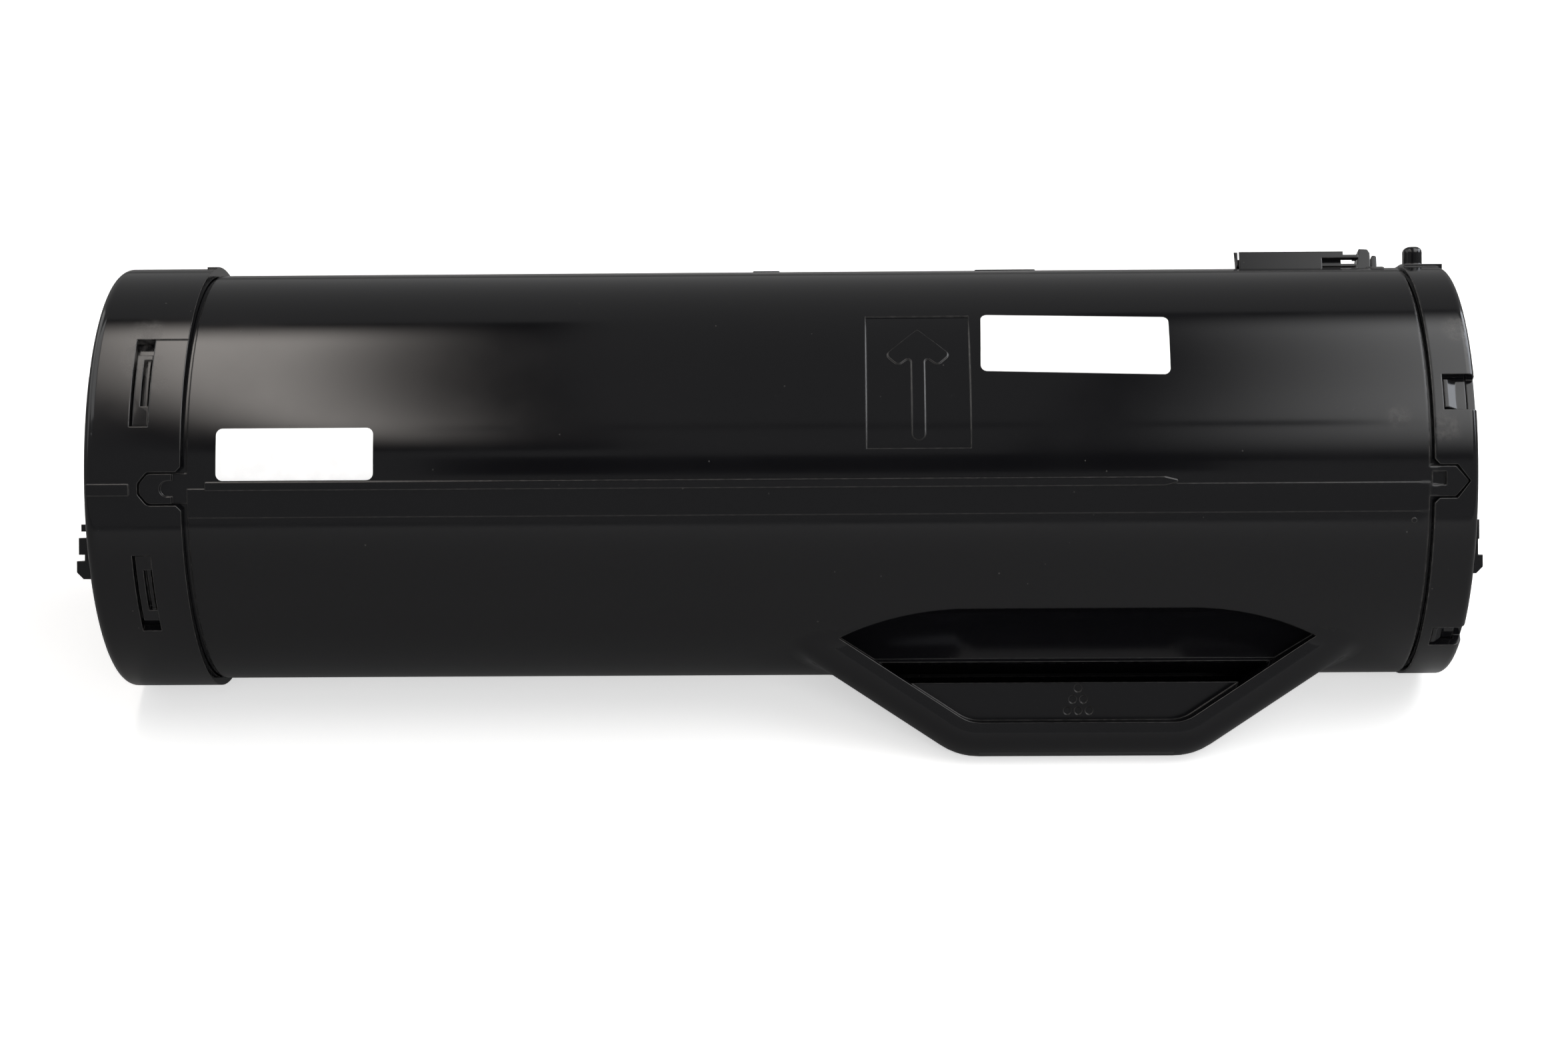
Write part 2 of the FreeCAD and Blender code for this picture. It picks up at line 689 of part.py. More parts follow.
def snap_pads():
    """Raised pads that fill the windows of the drive cap, each with its moulding slot."""
    pads = []
    left = WINDOW_LEFT + PAD_GAP
    right = WINDOW_RIGHT - 0.1
    top = DRIVE_CAP_R - PAD_SUNK
    for window, pad, slot in WINDOWS:
        for side in ((pad, slot), (mirrored_angles(*pad), mirrored_angles(*slot))):
            solid = sector(left, right, DRIVE_SPIGOT_R - 0.5, top, *side[0])
            cut = sector(right - PAD_SLOT, right + 1, DRIVE_SPIGOT_R + 0.2, top + 1, *side[1])
            rib = sector(right - PAD_SLOT * 0.6, right - PAD_SLOT * 0.2, DRIVE_SPIGOT_R - 0.2,
                         top - 0.5, *side[1])
            pads.append(solid.cut(cut).fuse(rib))
    return pads


def snap_hooks():
    """Hooks on the outlet spigot, ramped on the side that the cap comes from."""
    hooks = []
    start = BODY_LENGTH + OUTLET_SEAM + NOTCH_START + 0.3
    inner = OUTLET_SPIGOT_R - 0.5
    outer = OUTLET_SPIGOT_R + HOOK_RISE
    for notch, hook in NOTCHES:
        for low, high in (hook, mirrored_angles(*hook)):
            middle = (low + high) / 2
            width = 2 * outer * math.tan(math.radians((high - low) / 2))
            side = Part.makePolygon([Vector(start, -width / 2, inner),
                                     Vector(start, -width / 2, outer),
                                     Vector(start + HOOK_LENGTH * 0.5, -width / 2, outer),
                                     Vector(start + HOOK_LENGTH * 2, -width / 2, inner),
                                     Vector(start, -width / 2, inner)])
            hooks.append(turned(Part.Face(side).extrude(Vector(0, width, 0)), middle))
    return hooks


def long_rib():
    half = RIB_WIDTH / 2
    end = BODY_LENGTH - RIB_BACK
    points = [(RIB_START, -half), (end, -half), (end + RIB_TAPER, 0), (end, half),
              (RIB_START, half)]
    rib = on_shell(points, [0, 0, 0.3, 0, 0], BODY_R - 0.5, BODY_R + RIB_RISE, RIB_ANGLE)
    return rib


def marks_on_tube():
    marks = []
    y, z = polar(BODY_R - 0.5, SIGHT_MARK_ANGLE)
    along = point(0, 1, SIGHT_MARK_ANGLE)
    marks.append(Part.makeCylinder(SIGHT_MARK_R, 0.9, Vector(BODY_LENGTH - SIGHT_MARK_BACK, y, z),
                                    along))
    for back, length in TOP_PADS:
        start = BODY_LENGTH - back
        half = TOP_PAD_WIDTH / 2
        outline = [(start, -half), (start + length, -half), (start + length, half), (start, half)]
        marks.append(on_shell(outline, [0.4] * 4, BODY_R - 0.5, BODY_R + TOP_PAD_RISE,
                              TOP_PAD_ANGLE))
    return marks


def arrow_panel():
    """The sunk panel, less the arrow that stands up in it."""
    middle = (PANEL_LOW_ANGLE + PANEL_HIGH_ANGLE) / 2
    sunk = sector(PANEL_START, PANEL_START + PANEL_WIDTH, BODY_R - PANEL_SUNK, BODY_R + 1,
                  PANEL_LOW_ANGLE, PANEL_HIGH_ANGLE)
    centre = PANEL_START + PANEL_WIDTH / 2
    tip = arc_height(middle, ARROW_TIP_ANGLE)
    stem = ARROW_STEM / 2
    wing = ARROW_HALF_HEAD
    slant = ARROW_BAR * 0.7
    base = tip - ARROW_HALF_HEAD - ARROW_BAR
    end = base - ARROW_STEM_LENGTH + ARROW_BAR
    inner = tip - ARROW_BAR * 1.9
    points = [(centre, tip), (centre + wing, tip - wing), (centre + wing - slant, base + 1.2),
              (centre + stem, inner), (centre + stem, end), (centre - stem, end),
              (centre - stem, inner), (centre - wing + slant, base + 1.2),
              (centre - wing, tip - wing)]
    radii = [0.4, 1.2, 1.2, 0.8, stem * 0.95, stem * 0.95, 0.8, 1.2, 1.2]
    arrow = on_shell(points, radii, BODY_R - PANEL_SUNK - 0.5, BODY_R - 0.02, middle)
    return sunk.cut(arrow)


def chip_seat():
    """A low frame on the back of the tube with a flat pocket for the chip board."""
    half_x = CHIP_LENGTH / 2 + CHIP_SEAT_WALL
    half_t = CHIP_WIDTH / 2 + CHIP_SEAT_WALL
    seat = block((CHIP_X - half_x, CHIP_X + half_x), (-half_t, half_t),
                 (TUBE_BORE + 0.4, BODY_R + CHIP_SEAT_RISE))
    corners = [edge for edge in seat.Edges if abs(edge.Vertexes[0].Z - edge.Vertexes[1].Z) > 1]
    return turned(seat.makeFillet(1.5, corners), CHIP_ANGLE)


def chip_pocket():
    half_x = CHIP_LENGTH / 2 + HAIR_GAP
    half_t = CHIP_WIDTH / 2 + HAIR_GAP
    floor = BODY_R + CHIP_SEAT_RISE - CHIP_BOARD - CHIP_PAD - 0.2
    return turned(block((CHIP_X - half_x, CHIP_X + half_x), (-half_t, half_t),
                        (floor, BODY_R + 10)), CHIP_ANGLE)


def port_hole(extra):
    half_x = PORT_LENGTH / 2 + extra
    half_t = PORT_WIDTH / 2 + extra
    return turned(block((PORT_X - half_x, PORT_X + half_x), (-half_t, half_t),
                        (BODY_R * 0.8, BODY_R + 20)), PORT_ANGLE)


def shutter_stop():
    """The rounded stop beside the closed shutter's tab, its low ramp and the pad in front."""
    start = FRAME_END + TAB_LENGTH + 2 * FIT_GAP
    half = TAB_WIDTH / 2
    stop = block((start, start + STOP_LENGTH), (-half, half), (TUBE_BORE + 0.4, BODY_R + STOP_RISE))
    top = [edge for edge in stop.Edges
           if abs(edge.Vertexes[0].Y - edge.Vertexes[1].Y) > 1
           and min(v.Z for v in edge.Vertexes) > BODY_R]
    stop = stop.makeFillet(STOP_LENGTH * 0.42, top)
    ramp = block((start, BODY_LENGTH - 0.4), (-half, half), (TUBE_BORE + 0.4, BODY_R + 0.6))
    pad = sector(FRAME_END + STOP_PAD_GAP, FRAME_END + STOP_PAD_GAP + STOP_PAD_LENGTH, TUBE_BORE + 0.4,
                 BODY_R + STOP_PAD_RISE, *STOP_PAD_ANGLES)
    return turned(stop.fuse(ramp), PORT_ANGLE).fuse(pad)


def tail_boss():
    """Boss on the closed end with the blind bearing of the agitator's tail."""
    wall_inside = BODY_LENGTH - END_WALL
    radius = TAIL_R + HAIR_GAP + TAIL_BOSS_WALL
    return disc(wall_inside - TAIL_LENGTH + 1.5, wall_inside + 0.5, radius)


def toner_tank():
    outside = tube_with_scoop()
    outside = outside.cut(scoop_pocket().cut(disc(0, BODY_LENGTH, BODY_R)))
    outside = fused([outside, disc(-DRIVE_SPIGOT, 1, DRIVE_SPIGOT_R),
                     disc(BODY_LENGTH - 1, BODY_LENGTH + OUTLET_SPIGOT, OUTLET_SPIGOT_R)])
    outside = outside.cut(recess_cutter(0))
    lip_end = mouth_points(-RIM_LAND, 0)[0](polar(BODY_R, RECESS_LIP_ANGLE)[1])
    lip = sector(HANDLE_X - lip_end, HANDLE_X + lip_end, BODY_R - 0.5, BODY_R + LIP_RISE,
                 RECESS_LIP_ANGLE - 1.2, RECESS_LIP_ANGLE)
    band = sector(0, BODY_LENGTH, BODY_R - 0.5, BODY_R + BAND_RISE, BAND_LOW_ANGLE,
                  BAND_HIGH_ANGLE)
    raised = [lip, band, drive_keys(), outlet_keys(), long_rib(), chip_seat(), shutter_stop()]
    raised += snap_pads() + snap_hooks() + marks_on_tube()
    outside = outside.multiFuse(raised)
    hollow = disc(PLATE_INNER, BODY_LENGTH - END_WALL, TUBE_BORE).cut(recess_cutter(RECESS_WALL))
    hollow = hollow.cut(tail_boss())
    counterbore = disc(-DRIVE_SPIGOT - 1, PLATE_INNER, PLATE_R)
    spigot_bore = disc(BODY_LENGTH, BODY_LENGTH + OUTLET_SPIGOT + 1,
                       OUTLET_SPIGOT_R - OUTLET_SPIGOT_WALL)
    tail_bore = disc(BODY_LENGTH - END_WALL - TAIL_LENGTH, BODY_LENGTH - 1, TAIL_R + HAIR_GAP)
    fill = disc(BODY_LENGTH - END_WALL - 1, BODY_LENGTH + 1, FILL_R, FILL_Y, FILL_Z)
    cuts = [hollow, counterbore, spigot_bore, tail_bore, fill, port_hole(0), arrow_panel(),
            chip_pocket()] + toner_dots()
    for cut in cuts:
        outside = outside.cut(cut)
    return outside


# End caps

def cap_shell(closed, rim, outer, bore, wall, edge):
    """A cap with a rounded outer edge, from its closed end to its open rim."""
    low, high = min(closed, rim), max(closed, rim)
    solid = disc(low, high, outer)
    round_edges = [e for e in solid.Edges
                   if len(e.Vertexes) == 1 and abs(e.Vertexes[0].X - closed) < 0.01]
    solid = solid.makeFillet(edge, round_edges)
    inward = 1 if rim > closed else -1
    inside = disc(min(closed + inward * wall, rim + inward), max(closed + inward * wall,
                                                                rim + inward), bore)
    return solid.cut(inside)


def lugs(end, outward, heights):
    """Guide lugs that stand out of a cap's end face."""
    pieces = []
    root = end - outward * 0.5
    for low, high, out in heights:
        tip = end + outward * out
        pieces.append(block((min(root, tip), max(root, tip)), (-LUG_FRONT, -LUG_FRONT + LUG_DEPTH),
                            (low, high)))
    solid = fused(pieces)
    far = end + outward * max(out for low, high, out in heights)
    lowest = min(low for low, high, out in heights)
    corner = [e for e in solid.Edges
              if all(abs(v.X - far) < 0.01 and abs(v.Z - lowest) < 0.01 for v in e.Vertexes)]
    return solid.makeChamfer(LUG_CHAMFER, corner)


def drive_end_cap():
    cap = cap_shell(DRIVE_END, DRIVE_RIM, DRIVE_CAP_R, DRIVE_CAP_BORE, DRIVE_CAP_WALL, DRIVE_EDGE)
    half = RAIL_WIDTH / 2
    rail = [(DRIVE_END + 0.9, -half), (DRIVE_END + 0.9 + RAIL_LENGTH, -half),
            (DRIVE_END + 0.9 + RAIL_LENGTH, half), (DRIVE_END + 0.9, half)]
    collar = disc(DRIVE_END - 0.8, DRIVE_END + 1, COUPLING_R + 3.2)
    lip = sector(DRIVE_RIM - 2.4, DRIVE_RIM, DRIVE_CAP_R - 0.5, DRIVE_CAP_R + RIM_LIP,
                 RIM_LIP_LOW, RIM_LIP_HIGH)
    nub = block((DRIVE_END - DRIVE_NUB[2], DRIVE_END + 0.5),
                (-LUG_FRONT, -LUG_FRONT + 2.5), DRIVE_NUB[:2])
    cap = cap.multiFuse([on_shell(rail, [0.3] * 4, DRIVE_CAP_R - 0.6, DRIVE_CAP_R + RAIL_RISE,
                                  KEY_ANGLE - 0.2),
                         lip, nub, lugs(DRIVE_END, -1, DRIVE_LUGS), collar])
    cuts = [disc(DRIVE_END - 5, DRIVE_END_INSIDE + 1, COUPLING_R + HAIR_GAP),
            ring(DRIVE_END - 1, DRIVE_END + FACE_RING_SUNK, DRIVE_CAP_R - FACE_RING,
                 FACE_RING_INNER)]
    for window, pad, slot in WINDOWS:
        for low, high in (window, mirrored_angles(*window)):
            cuts.append(sector(WINDOW_LEFT, WINDOW_RIGHT, DRIVE_CAP_BORE - 1, DRIVE_CAP_R + 1,
                               low, high))
            if window is WINDOWS[0][0]:
                cuts.append(sector(WINDOW_RIGHT - 0.5, DRIVE_RIM + 1, DRIVE_CAP_R - WITNESS,
                                   DRIVE_CAP_R + 1, high - 0.35, high))
    points, radii = drive_key(KEY_GAP)
    cuts.append(on_shell(points, radii, DRIVE_CAP_BORE - 1, DRIVE_CAP_R + 1, KEY_ANGLE))
    flare = KEY_WIDTH / 2 + KEY_GAP
    mouth = [(DRIVE_RIM - KEY_FLARE, -flare), (DRIVE_RIM + 1, -flare - KEY_FLARE - 1),
             (DRIVE_RIM + 1, flare + KEY_FLARE + 1), (DRIVE_RIM - KEY_FLARE, flare)]
    cuts.append(on_shell(mouth, [0] * 4, DRIVE_CAP_BORE - 1, DRIVE_CAP_R + 1, KEY_ANGLE))
    for cut in cuts:
        cap = cap.cut(cut)
    return cap


def guide_peg():
    start = OUTLET_RIM + PEG_X
    half = PEG_WIDTH / 2
    peg = block((start, start + PEG_LENGTH), (-half, half),
                (OUTLET_CAP_R - 0.8, OUTLET_CAP_R - 0.3 + PEG_HEIGHT))
    upright = [edge for edge in peg.Edges if abs(edge.Vertexes[0].Z - edge.Vertexes[1].Z) > 1]
    peg = peg.makeFillet(PEG_CORNER, upright)
    top = [edge for edge in peg.Edges if min(v.Z for v in edge.Vertexes) > OUTLET_CAP_R + 1]
    peg = peg.makeFillet(PEG_CROWN, top)
    pad = sector(start - 0.7, OUTLET_END, OUTLET_CAP_R - 1.8,
                 OUTLET_CAP_R + PEG_PAD, PEG_ANGLE - PEG_PAD_SPREAD, PEG_ANGLE + PEG_PAD_SPREAD)
    return peg.fuse(pad)


def outlet_end_cap():
    cap = cap_shell(OUTLET_END, OUTLET_RIM, OUTLET_CAP_R, OUTLET_CAP_BORE, OUTLET_CAP_WALL,
                    OUTLET_EDGE)
    cap = cap.multiFuse([guide_peg(), lugs(OUTLET_END, 1, OUTLET_LUGS)])
    cuts = [ring(OUTLET_END - FACE_RING_SUNK, OUTLET_END + 1, OUTLET_CAP_R - FACE_RING,
                 FACE_RING_INNER)]
    start = OUTLET_RIM + NOTCH_START
    for notch, hook in NOTCHES:
        for low, high in (notch, mirrored_angles(*notch)):
            cuts.append(sector(start, OUTLET_END + 1, OUTLET_CAP_R - NOTCH_DEPTH,
                               OUTLET_CAP_R + 1, low, high))
    points, radii = outlet_key(KEY_GAP)
    cuts.append(on_shell(points, radii, OUTLET_CAP_BORE - 1, OUTLET_CAP_R + 1, KEY_ANGLE))
    flare = KEY_WIDTH / 2 + KEY_GAP
    mouth = [(OUTLET_RIM + KEY_FLARE, -flare), (OUTLET_RIM - 1, -flare - KEY_FLARE - 1),
             (OUTLET_RIM - 1, flare + KEY_FLARE + 1), (OUTLET_RIM + KEY_FLARE, flare)]
    cuts.append(on_shell(mouth, [0] * 4, OUTLET_CAP_BORE - 1, OUTLET_CAP_R + 1, KEY_ANGLE))
    for cut in cuts:
        cap = cap.cut(cut)
    return cap


# Drive end inside the cap

def idler_place():
    return polar(CENTRES, IDLER_ANGLE)


def tank_end_plate():
    """Closes the tube and carries the idler stud, the bush and the shaft seal."""
    plate = disc(PLATE_OUTER, PLATE_INNER, PLATE_R - HAIR_GAP)
    y, z = idler_place()
    stud = disc(GEAR_A_OUTER - 0.3, PLATE_INNER, STUD_R, y, z)
    stud_foot = disc(PLATE_OUTER - BUSH_FLANGE, PLATE_INNER, STUD_R + HUB_WALL, y, z)
    cup = disc(PLATE_INNER, PLATE_INNER + SEAL_RING_THICK + 0.5, SEAL_RING_R + SEAL_CUP_WALL)
    stiffener = ring(PLATE_INNER, PLATE_INNER + PLATE_RIB * 2, TUBE_BORE - 1, TUBE_BORE - 1 - PLATE_RIB)
    plate = plate.multiFuse([stud, stud_foot, cup, stiffener])
    for cut in (disc(PLATE_OUTER - 1, PLATE_INNER + 1, BUSH_R + HAIR_GAP),
                disc(PLATE_INNER, PLATE_INNER + 10, SEAL_RING_R + HAIR_GAP),
                gasket_ring(HAIR_GAP)):
        plate = plate.cut(cut)
    return plate


def gasket_ring(grow):
    outer = PLATE_R - 1.4
    return ring(PLATE_OUTER - 1 if grow else PLATE_OUTER - 0.2, PLATE_OUTER + GASKET_THICK,
                outer + grow, outer - GASKET_WIDTH - grow)


def shaft_bush():
    body = disc(PLATE_OUTER, PLATE_INNER - HAIR_GAP, BUSH_R)
    flange = disc(PLATE_OUTER - BUSH_FLANGE, PLATE_OUTER, BUSH_FLANGE_R)
    return body.fuse(flange).cut(disc(PLATE_OUTER - 2, PLATE_INNER + 2, SHAFT_R + HAIR_GAP))


def shaft_seal():
    return ring(PLATE_INNER, PLATE_INNER + SEAL_RING_THICK, SEAL_RING_R, SHAFT_R + HAIR_GAP)


def idler_gear():
    y, z = idler_place()
    to_idler = IDLER_ANGLE
    small = spur_gear(GEAR_A_INNER + 0.1, GEAR_B_INNER, IDLER_SMALL_TEETH,
                      to_idler + 180 + 180.0 / IDLER_SMALL_TEETH, y, z)
    big = spur_gear(GEAR_A_OUTER, GEAR_A_INNER, IDLER_BIG_TEETH, to_idler + 180, y, z)
    hub = disc(GEAR_A_INNER - 1, GEAR_B_OUTER + 1, STUD_R + HUB_WALL, y, z)
    gear = small.multiFuse([big, hub])
    web = disc(GEAR_A_OUTER - 1, GEAR_A_OUTER + 1.4, MODULE * (IDLER_BIG_TEETH - 6) / 2, y, z)
    web = web.cut(disc(GEAR_A_OUTER - 2, GEAR_A_OUTER + 3, STUD_R + HUB_WALL, y, z))
    return gear.cut(web).cut(disc(GEAR_A_OUTER - 2, GEAR_B_INNER + 2, STUD_R + HAIR_GAP, y, z))


def drive_coupling():
    """Pinion, flange and journal with the drive cup and its pilot bore, in one moulding."""
    pinion = spur_gear(GEAR_A_OUTER, GEAR_A_INNER, PINION_TEETH,
                       IDLER_ANGLE + 180.0 / PINION_TEETH)
    flange = disc(FLANGE_OUTER, FLANGE_OUTER + COUPLING_FLANGE, COUPLING_FLANGE_R)
    neck = disc(FLANGE_OUTER, GEAR_A_OUTER + 0.5, MODULE * (PINION_TEETH - 2.5) / 2)
    journal = disc(COUPLING_FACE, FLANGE_OUTER + 0.5, COUPLING_R)
    coupling = pinion.multiFuse([flange, neck, journal])
    floor = COUPLING_FACE + CUP_DEPTH
    cup = disc(COUPLING_FACE - 1, floor, COUPLING_R - CUP_WALL)
    keep = [disc(COUPLING_FACE + 0.4, floor + 0.5, PILOT_R + PILOT_WALL)]
    for dog in range(DOGS):
        middle = 90 + dog * 360.0 / DOGS
        keep.append(sector(COUPLING_FACE + 1.0, floor + 0.5, PILOT_R + PILOT_WALL * 0.5,
                           COUPLING_R - CUP_WALL + 0.3, middle - DOG_ANGLE / 2,
                           middle + DOG_ANGLE / 2))
    cup = cup.cut(fused(keep)).removeSplitter()
    pilot = disc(COUPLING_FACE - 1, floor, PILOT_R)
    socket = disc(GEAR_B_OUTER - NOSE_PIN_LENGTH - 0.4, GEAR_A_INNER + 1, NOSE_PIN_R + HAIR_GAP)
    return coupling.cut(cup).cut(pilot).cut(socket)


def d_section(start, end, radius):
    """A shaft end with one flat, which stops the gear from turning on it."""
    flat = radius - SHAFT_FLAT
    return disc(start, end, radius).cut(block((start - 1, end + 1), (-radius, radius),
                                              (flat, radius + 5)))


def agitator_gear():
    gear = spur_gear(GEAR_B_OUTER, GEAR_B_INNER, AGITATOR_TEETH, IDLER_ANGLE)
    bore = d_section(GEAR_B_OUTER - 1, GEAR_B_INNER + 1, SHAFT_D_R + HAIR_GAP)
    rim = MODULE * (AGITATOR_TEETH - 6) / 2
    lighten = ring(GEAR_B_OUTER - 1, GEAR_B_OUTER + 1.4, rim, SHAFT_D_R + HUB_WALL + 1)
    return gear.cut(lighten).cut(bore)


# Agitator

def arm_places():
    first = ARM_START
    last = BODY_LENGTH - END_WALL - ARM_END_GAP - TAIL_LENGTH
    return [first + (last - first) * index / (ARMS - 1) for index in range(ARMS)]


def agitator_shaft():
    """Shaft, arms and the two long bars that carry the films."""
    wall_inside = BODY_LENGTH - END_WALL
    spine_end = wall_inside - TAIL_LENGTH + 1.5 - FIT_GAP
    tail_end = BODY_LENGTH - 1 - FIT_GAP
    pieces = [disc(GEAR_B_INNER, spine_end, SHAFT_R),
              disc(spine_end - 1, tail_end, TAIL_R),
              d_section(GEAR_B_OUTER, GEAR_B_INNER + 1, SHAFT_D_R),
              disc(GEAR_B_OUTER - NOSE_PIN_LENGTH, GEAR_B_OUTER + 1, NOSE_PIN_R)]
    places = arm_places()
    half = ARM_THICK / 2
    for x in places:
        pieces.append(block((x - half, x + half), (-half, half), (-ARM_REACH, ARM_REACH)))
    for side in (-1, 1):
        low = min(side * ARM_REACH, side * (ARM_REACH - BAR_WIDTH))
        pieces.append(block((places[0] - half, places[-1] + half), (-half, half),
                            (low, low + BAR_WIDTH)))
    return fused(pieces)


def film_steps():
    """Where the film stands back from the finger recess's wall."""
    return (HANDLE_X - MOUTH_HALF - FILM_STEP_MARGIN,
            min(HANDLE_X + MOUTH_HALF + FILM_STEP_MARGIN, arm_places()[-1] - 2))


def agitator_film(side):
    """A thin sheet on the leading face of a bar, lower where the finger recess comes in."""
    places = arm_places()
    start, end = places[0], places[-1]
    step_low, step_high = film_steps()
    inner = ARM_REACH - BAR_WIDTH
    corners = [(start, inner), (end, inner), (end, FILM_REACH), (step_high, FILM_REACH),
               (step_high, FILM_LOW_REACH), (step_low, FILM_LOW_REACH), (step_low, FILM_REACH),
               (start, FILM_REACH)]
    y = side * ARM_THICK / 2
    outline = [Vector(x, y, side * z) for x, z in corners]
    film = Part.Face(Part.makePolygon(outline + outline[:1])).extrude(
        Vector(0, side * FILM_THICK, 0))
    gap = (end - start) / FILM_SLITS
    for index in range(1, FILM_SLITS):
        x = start + gap * index
        slit = block((x - 0.5, x + 0.5), (min(y, y + side * 2) - 1, max(y, y + side * 2) + 1),
                     (min(side * (ARM_REACH + 3), side * 60), max(side * (ARM_REACH + 3),
                                                                  side * 60)))
        film = film.cut(slit)
    return film


def film_clamp(side):
    """The strip that holds a film to its bar."""
    places = arm_places()
    y = side * (ARM_THICK / 2 + FILM_THICK)
    top = side * (ARM_REACH - 0.5)
    low = side * (ARM_REACH - 0.5 - CLAMP_WIDTH)
    strip = block((places[0] + 1, places[-1] - 1), (min(y, y + side * CLAMP_THICK),
                                                     max(y, y + side * CLAMP_THICK)),
                  (min(top, low), max(top, low)))
    return strip


# Outlet parts

def past_skewed_end(start):
    """What lies past a slanted left end, whose back is FRAME_SKEW further in than its front."""
    side = FRAME_WIDTH / 2 + 2
    lean = FRAME_SKEW / FRAME_WIDTH
    outline = [Vector(start - 8, -side, BODY_R / 2), Vector(start - 2 * lean, -side, BODY_R / 2),
               Vector(start + FRAME_SKEW + 2 * lean, side, BODY_R / 2),
               Vector(start - 8, side, BODY_R / 2)]
    return Part.Face(Part.makePolygon(outline + outline[:1])).extrude(Vector(0, 0, BODY_R))


def port_frame():
    """Guide frame: two rails with lips, a bed round the seal and a slot in the front rail."""
    half = FRAME_WIDTH / 2
    solid = block((FRAME_START, FRAME_END), (-half, half), (BODY_R * 0.9, BODY_R + FRAME_TOP))
    solid = solid.cut(disc(FRAME_START - 1, FRAME_END + 1, BODY_R + HAIR_GAP))
    channel = block((FRAME_START - 1, FRAME_END + 1), (-half + FRAME_WALL, half - FRAME_WALL),
                    (BODY_R + SEAL_TOP - 0.1, BODY_R + FRAME_TOP - FRAME_LIP_THICK))
    mouth = block((FRAME_START - 1, FRAME_END + 1),
                  (-half + FRAME_WALL + FRAME_LIP, half - FRAME_WALL - FRAME_LIP),
                  (BODY_R + SEAL_TOP, BODY_R + FRAME_TOP + 1))
    margin = SEAL_MARGIN + HAIR_GAP
    well = block((PORT_X - PORT_LENGTH / 2 - margin, PORT_X + PORT_LENGTH / 2 + margin),
                 (-PORT_WIDTH / 2 - margin + 0.6, PORT_WIDTH / 2 + margin - 0.6),
                 (BODY_R * 0.85, BODY_R + 5))
    sight = block((FRAME_END - SIGHT_SLOT, FRAME_END + 1), (-half - 1, -half + FRAME_WALL + 0.05),
                  (BODY_R * 0.9, BODY_R + SIGHT_SLOT_TOP))
    low = block((FRAME_END - FRAME_LOW_LENGTH, FRAME_END + 1), (-half - 1, half + 1),
                (BODY_R + FRAME_TOP - FRAME_LOW_STEP, BODY_R + FRAME_TOP + 1))
    shape = solid.cut(channel).cut(mouth).cut(well).cut(sight).cut(low)
    return turned(shape.cut(past_skewed_end(FRAME_START)), PORT_ANGLE)


def port_seal():
    """Foam gasket round the outlet, between the tube and the shutter."""
    margin = SEAL_MARGIN
    outer = block((PORT_X - PORT_LENGTH / 2 - margin, PORT_X + PORT_LENGTH / 2 + margin),
                  (-PORT_WIDTH / 2 - margin + 0.6, PORT_WIDTH / 2 + margin - 0.6),
                  (BODY_R * 0.9, BODY_R + SEAL_TOP))
    inner = block((PORT_X - PORT_LENGTH / 2, PORT_X + PORT_LENGTH / 2),
                  (-PORT_WIDTH / 2, PORT_WIDTH / 2), (BODY_R * 0.8, BODY_R + 5))
    seal = outer.cut(inner).cut(disc(PORT_X - 20, PORT_X + 20, BODY_R + HAIR_GAP))
    return turned(seal, PORT_ANGLE)


def port_shutter():
    """Sliding plate with a sloped nose at one end and the pull tab at the other."""
    half = FRAME_WIDTH / 2 - FRAME_WALL - SHUTTER_GAP
    plate_end = FRAME_END - 0.3
    plate = block((FRAME_START - FIT_GAP, plate_end), (-half, half),
                  (SLIDE_BED, SLIDE_BED + SHUTTER_THICK))
    bevel = [Vector(plate_end - FRAME_LOW_LENGTH, -half - 0.1, SLIDE_BED + SHUTTER_THICK + 0.1),
             Vector(plate_end - FRAME_LOW_LENGTH, -half + SHUTTER_BEVEL,
                    SLIDE_BED + SHUTTER_THICK + 0.1),
             Vector(plate_end - FRAME_LOW_LENGTH, -half - 0.1, SLIDE_BED + 0.1)]
    plate = plate.cut(Part.Face(Part.makePolygon(bevel + bevel[:1])).extrude(
        Vector(FRAME_LOW_LENGTH + 1, 0, 0)))
    front = -FRAME_WIDTH / 2 + 0.4
    base = FRAME_START - FIT_GAP
    top = BODY_R + FRAME_TOP
    nose_side = [Vector(base + 0.01, front, SLIDE_BED), Vector(base + 0.01, front, top),
                 Vector(base - SHUTTER_NOSE, front, top), Vector(base - 0.1, front, SLIDE_BED)]
    nose = Part.Face(Part.makePolygon(nose_side + nose_side[:1])).extrude(
        Vector(0, FRAME_WIDTH - 0.8, 0))
    tab_half = TAB_WIDTH / 2
    tab_start = FRAME_END + FIT_GAP
    foot = block((plate_end - 1, tab_start + TAB_LENGTH), (-tab_half, tab_half),
                 (SLIDE_BED, SLIDE_BED + SHUTTER_THICK))
    hook = [Vector(tab_start, -tab_half, SLIDE_BED),
            Vector(tab_start + TAB_SLANT, -tab_half, BODY_R + TAB_RISE),
            Vector(tab_start + TAB_LENGTH - 0.6, -tab_half, BODY_R + TAB_RISE - 0.15),
            Vector(tab_start + TAB_LENGTH, -tab_half, BODY_R + TAB_RISE - 1.1),
            Vector(tab_start + TAB_LENGTH, -tab_half, SLIDE_BED)]
    tab = Part.Face(Part.makePolygon(hook + hook[:1])).extrude(Vector(0, TAB_WIDTH, 0))
    shutter = fused([plate, nose, foot, tab]).cut(past_skewed_end(base - SHUTTER_NOSE))
    return turned(shutter, PORT_ANGLE)


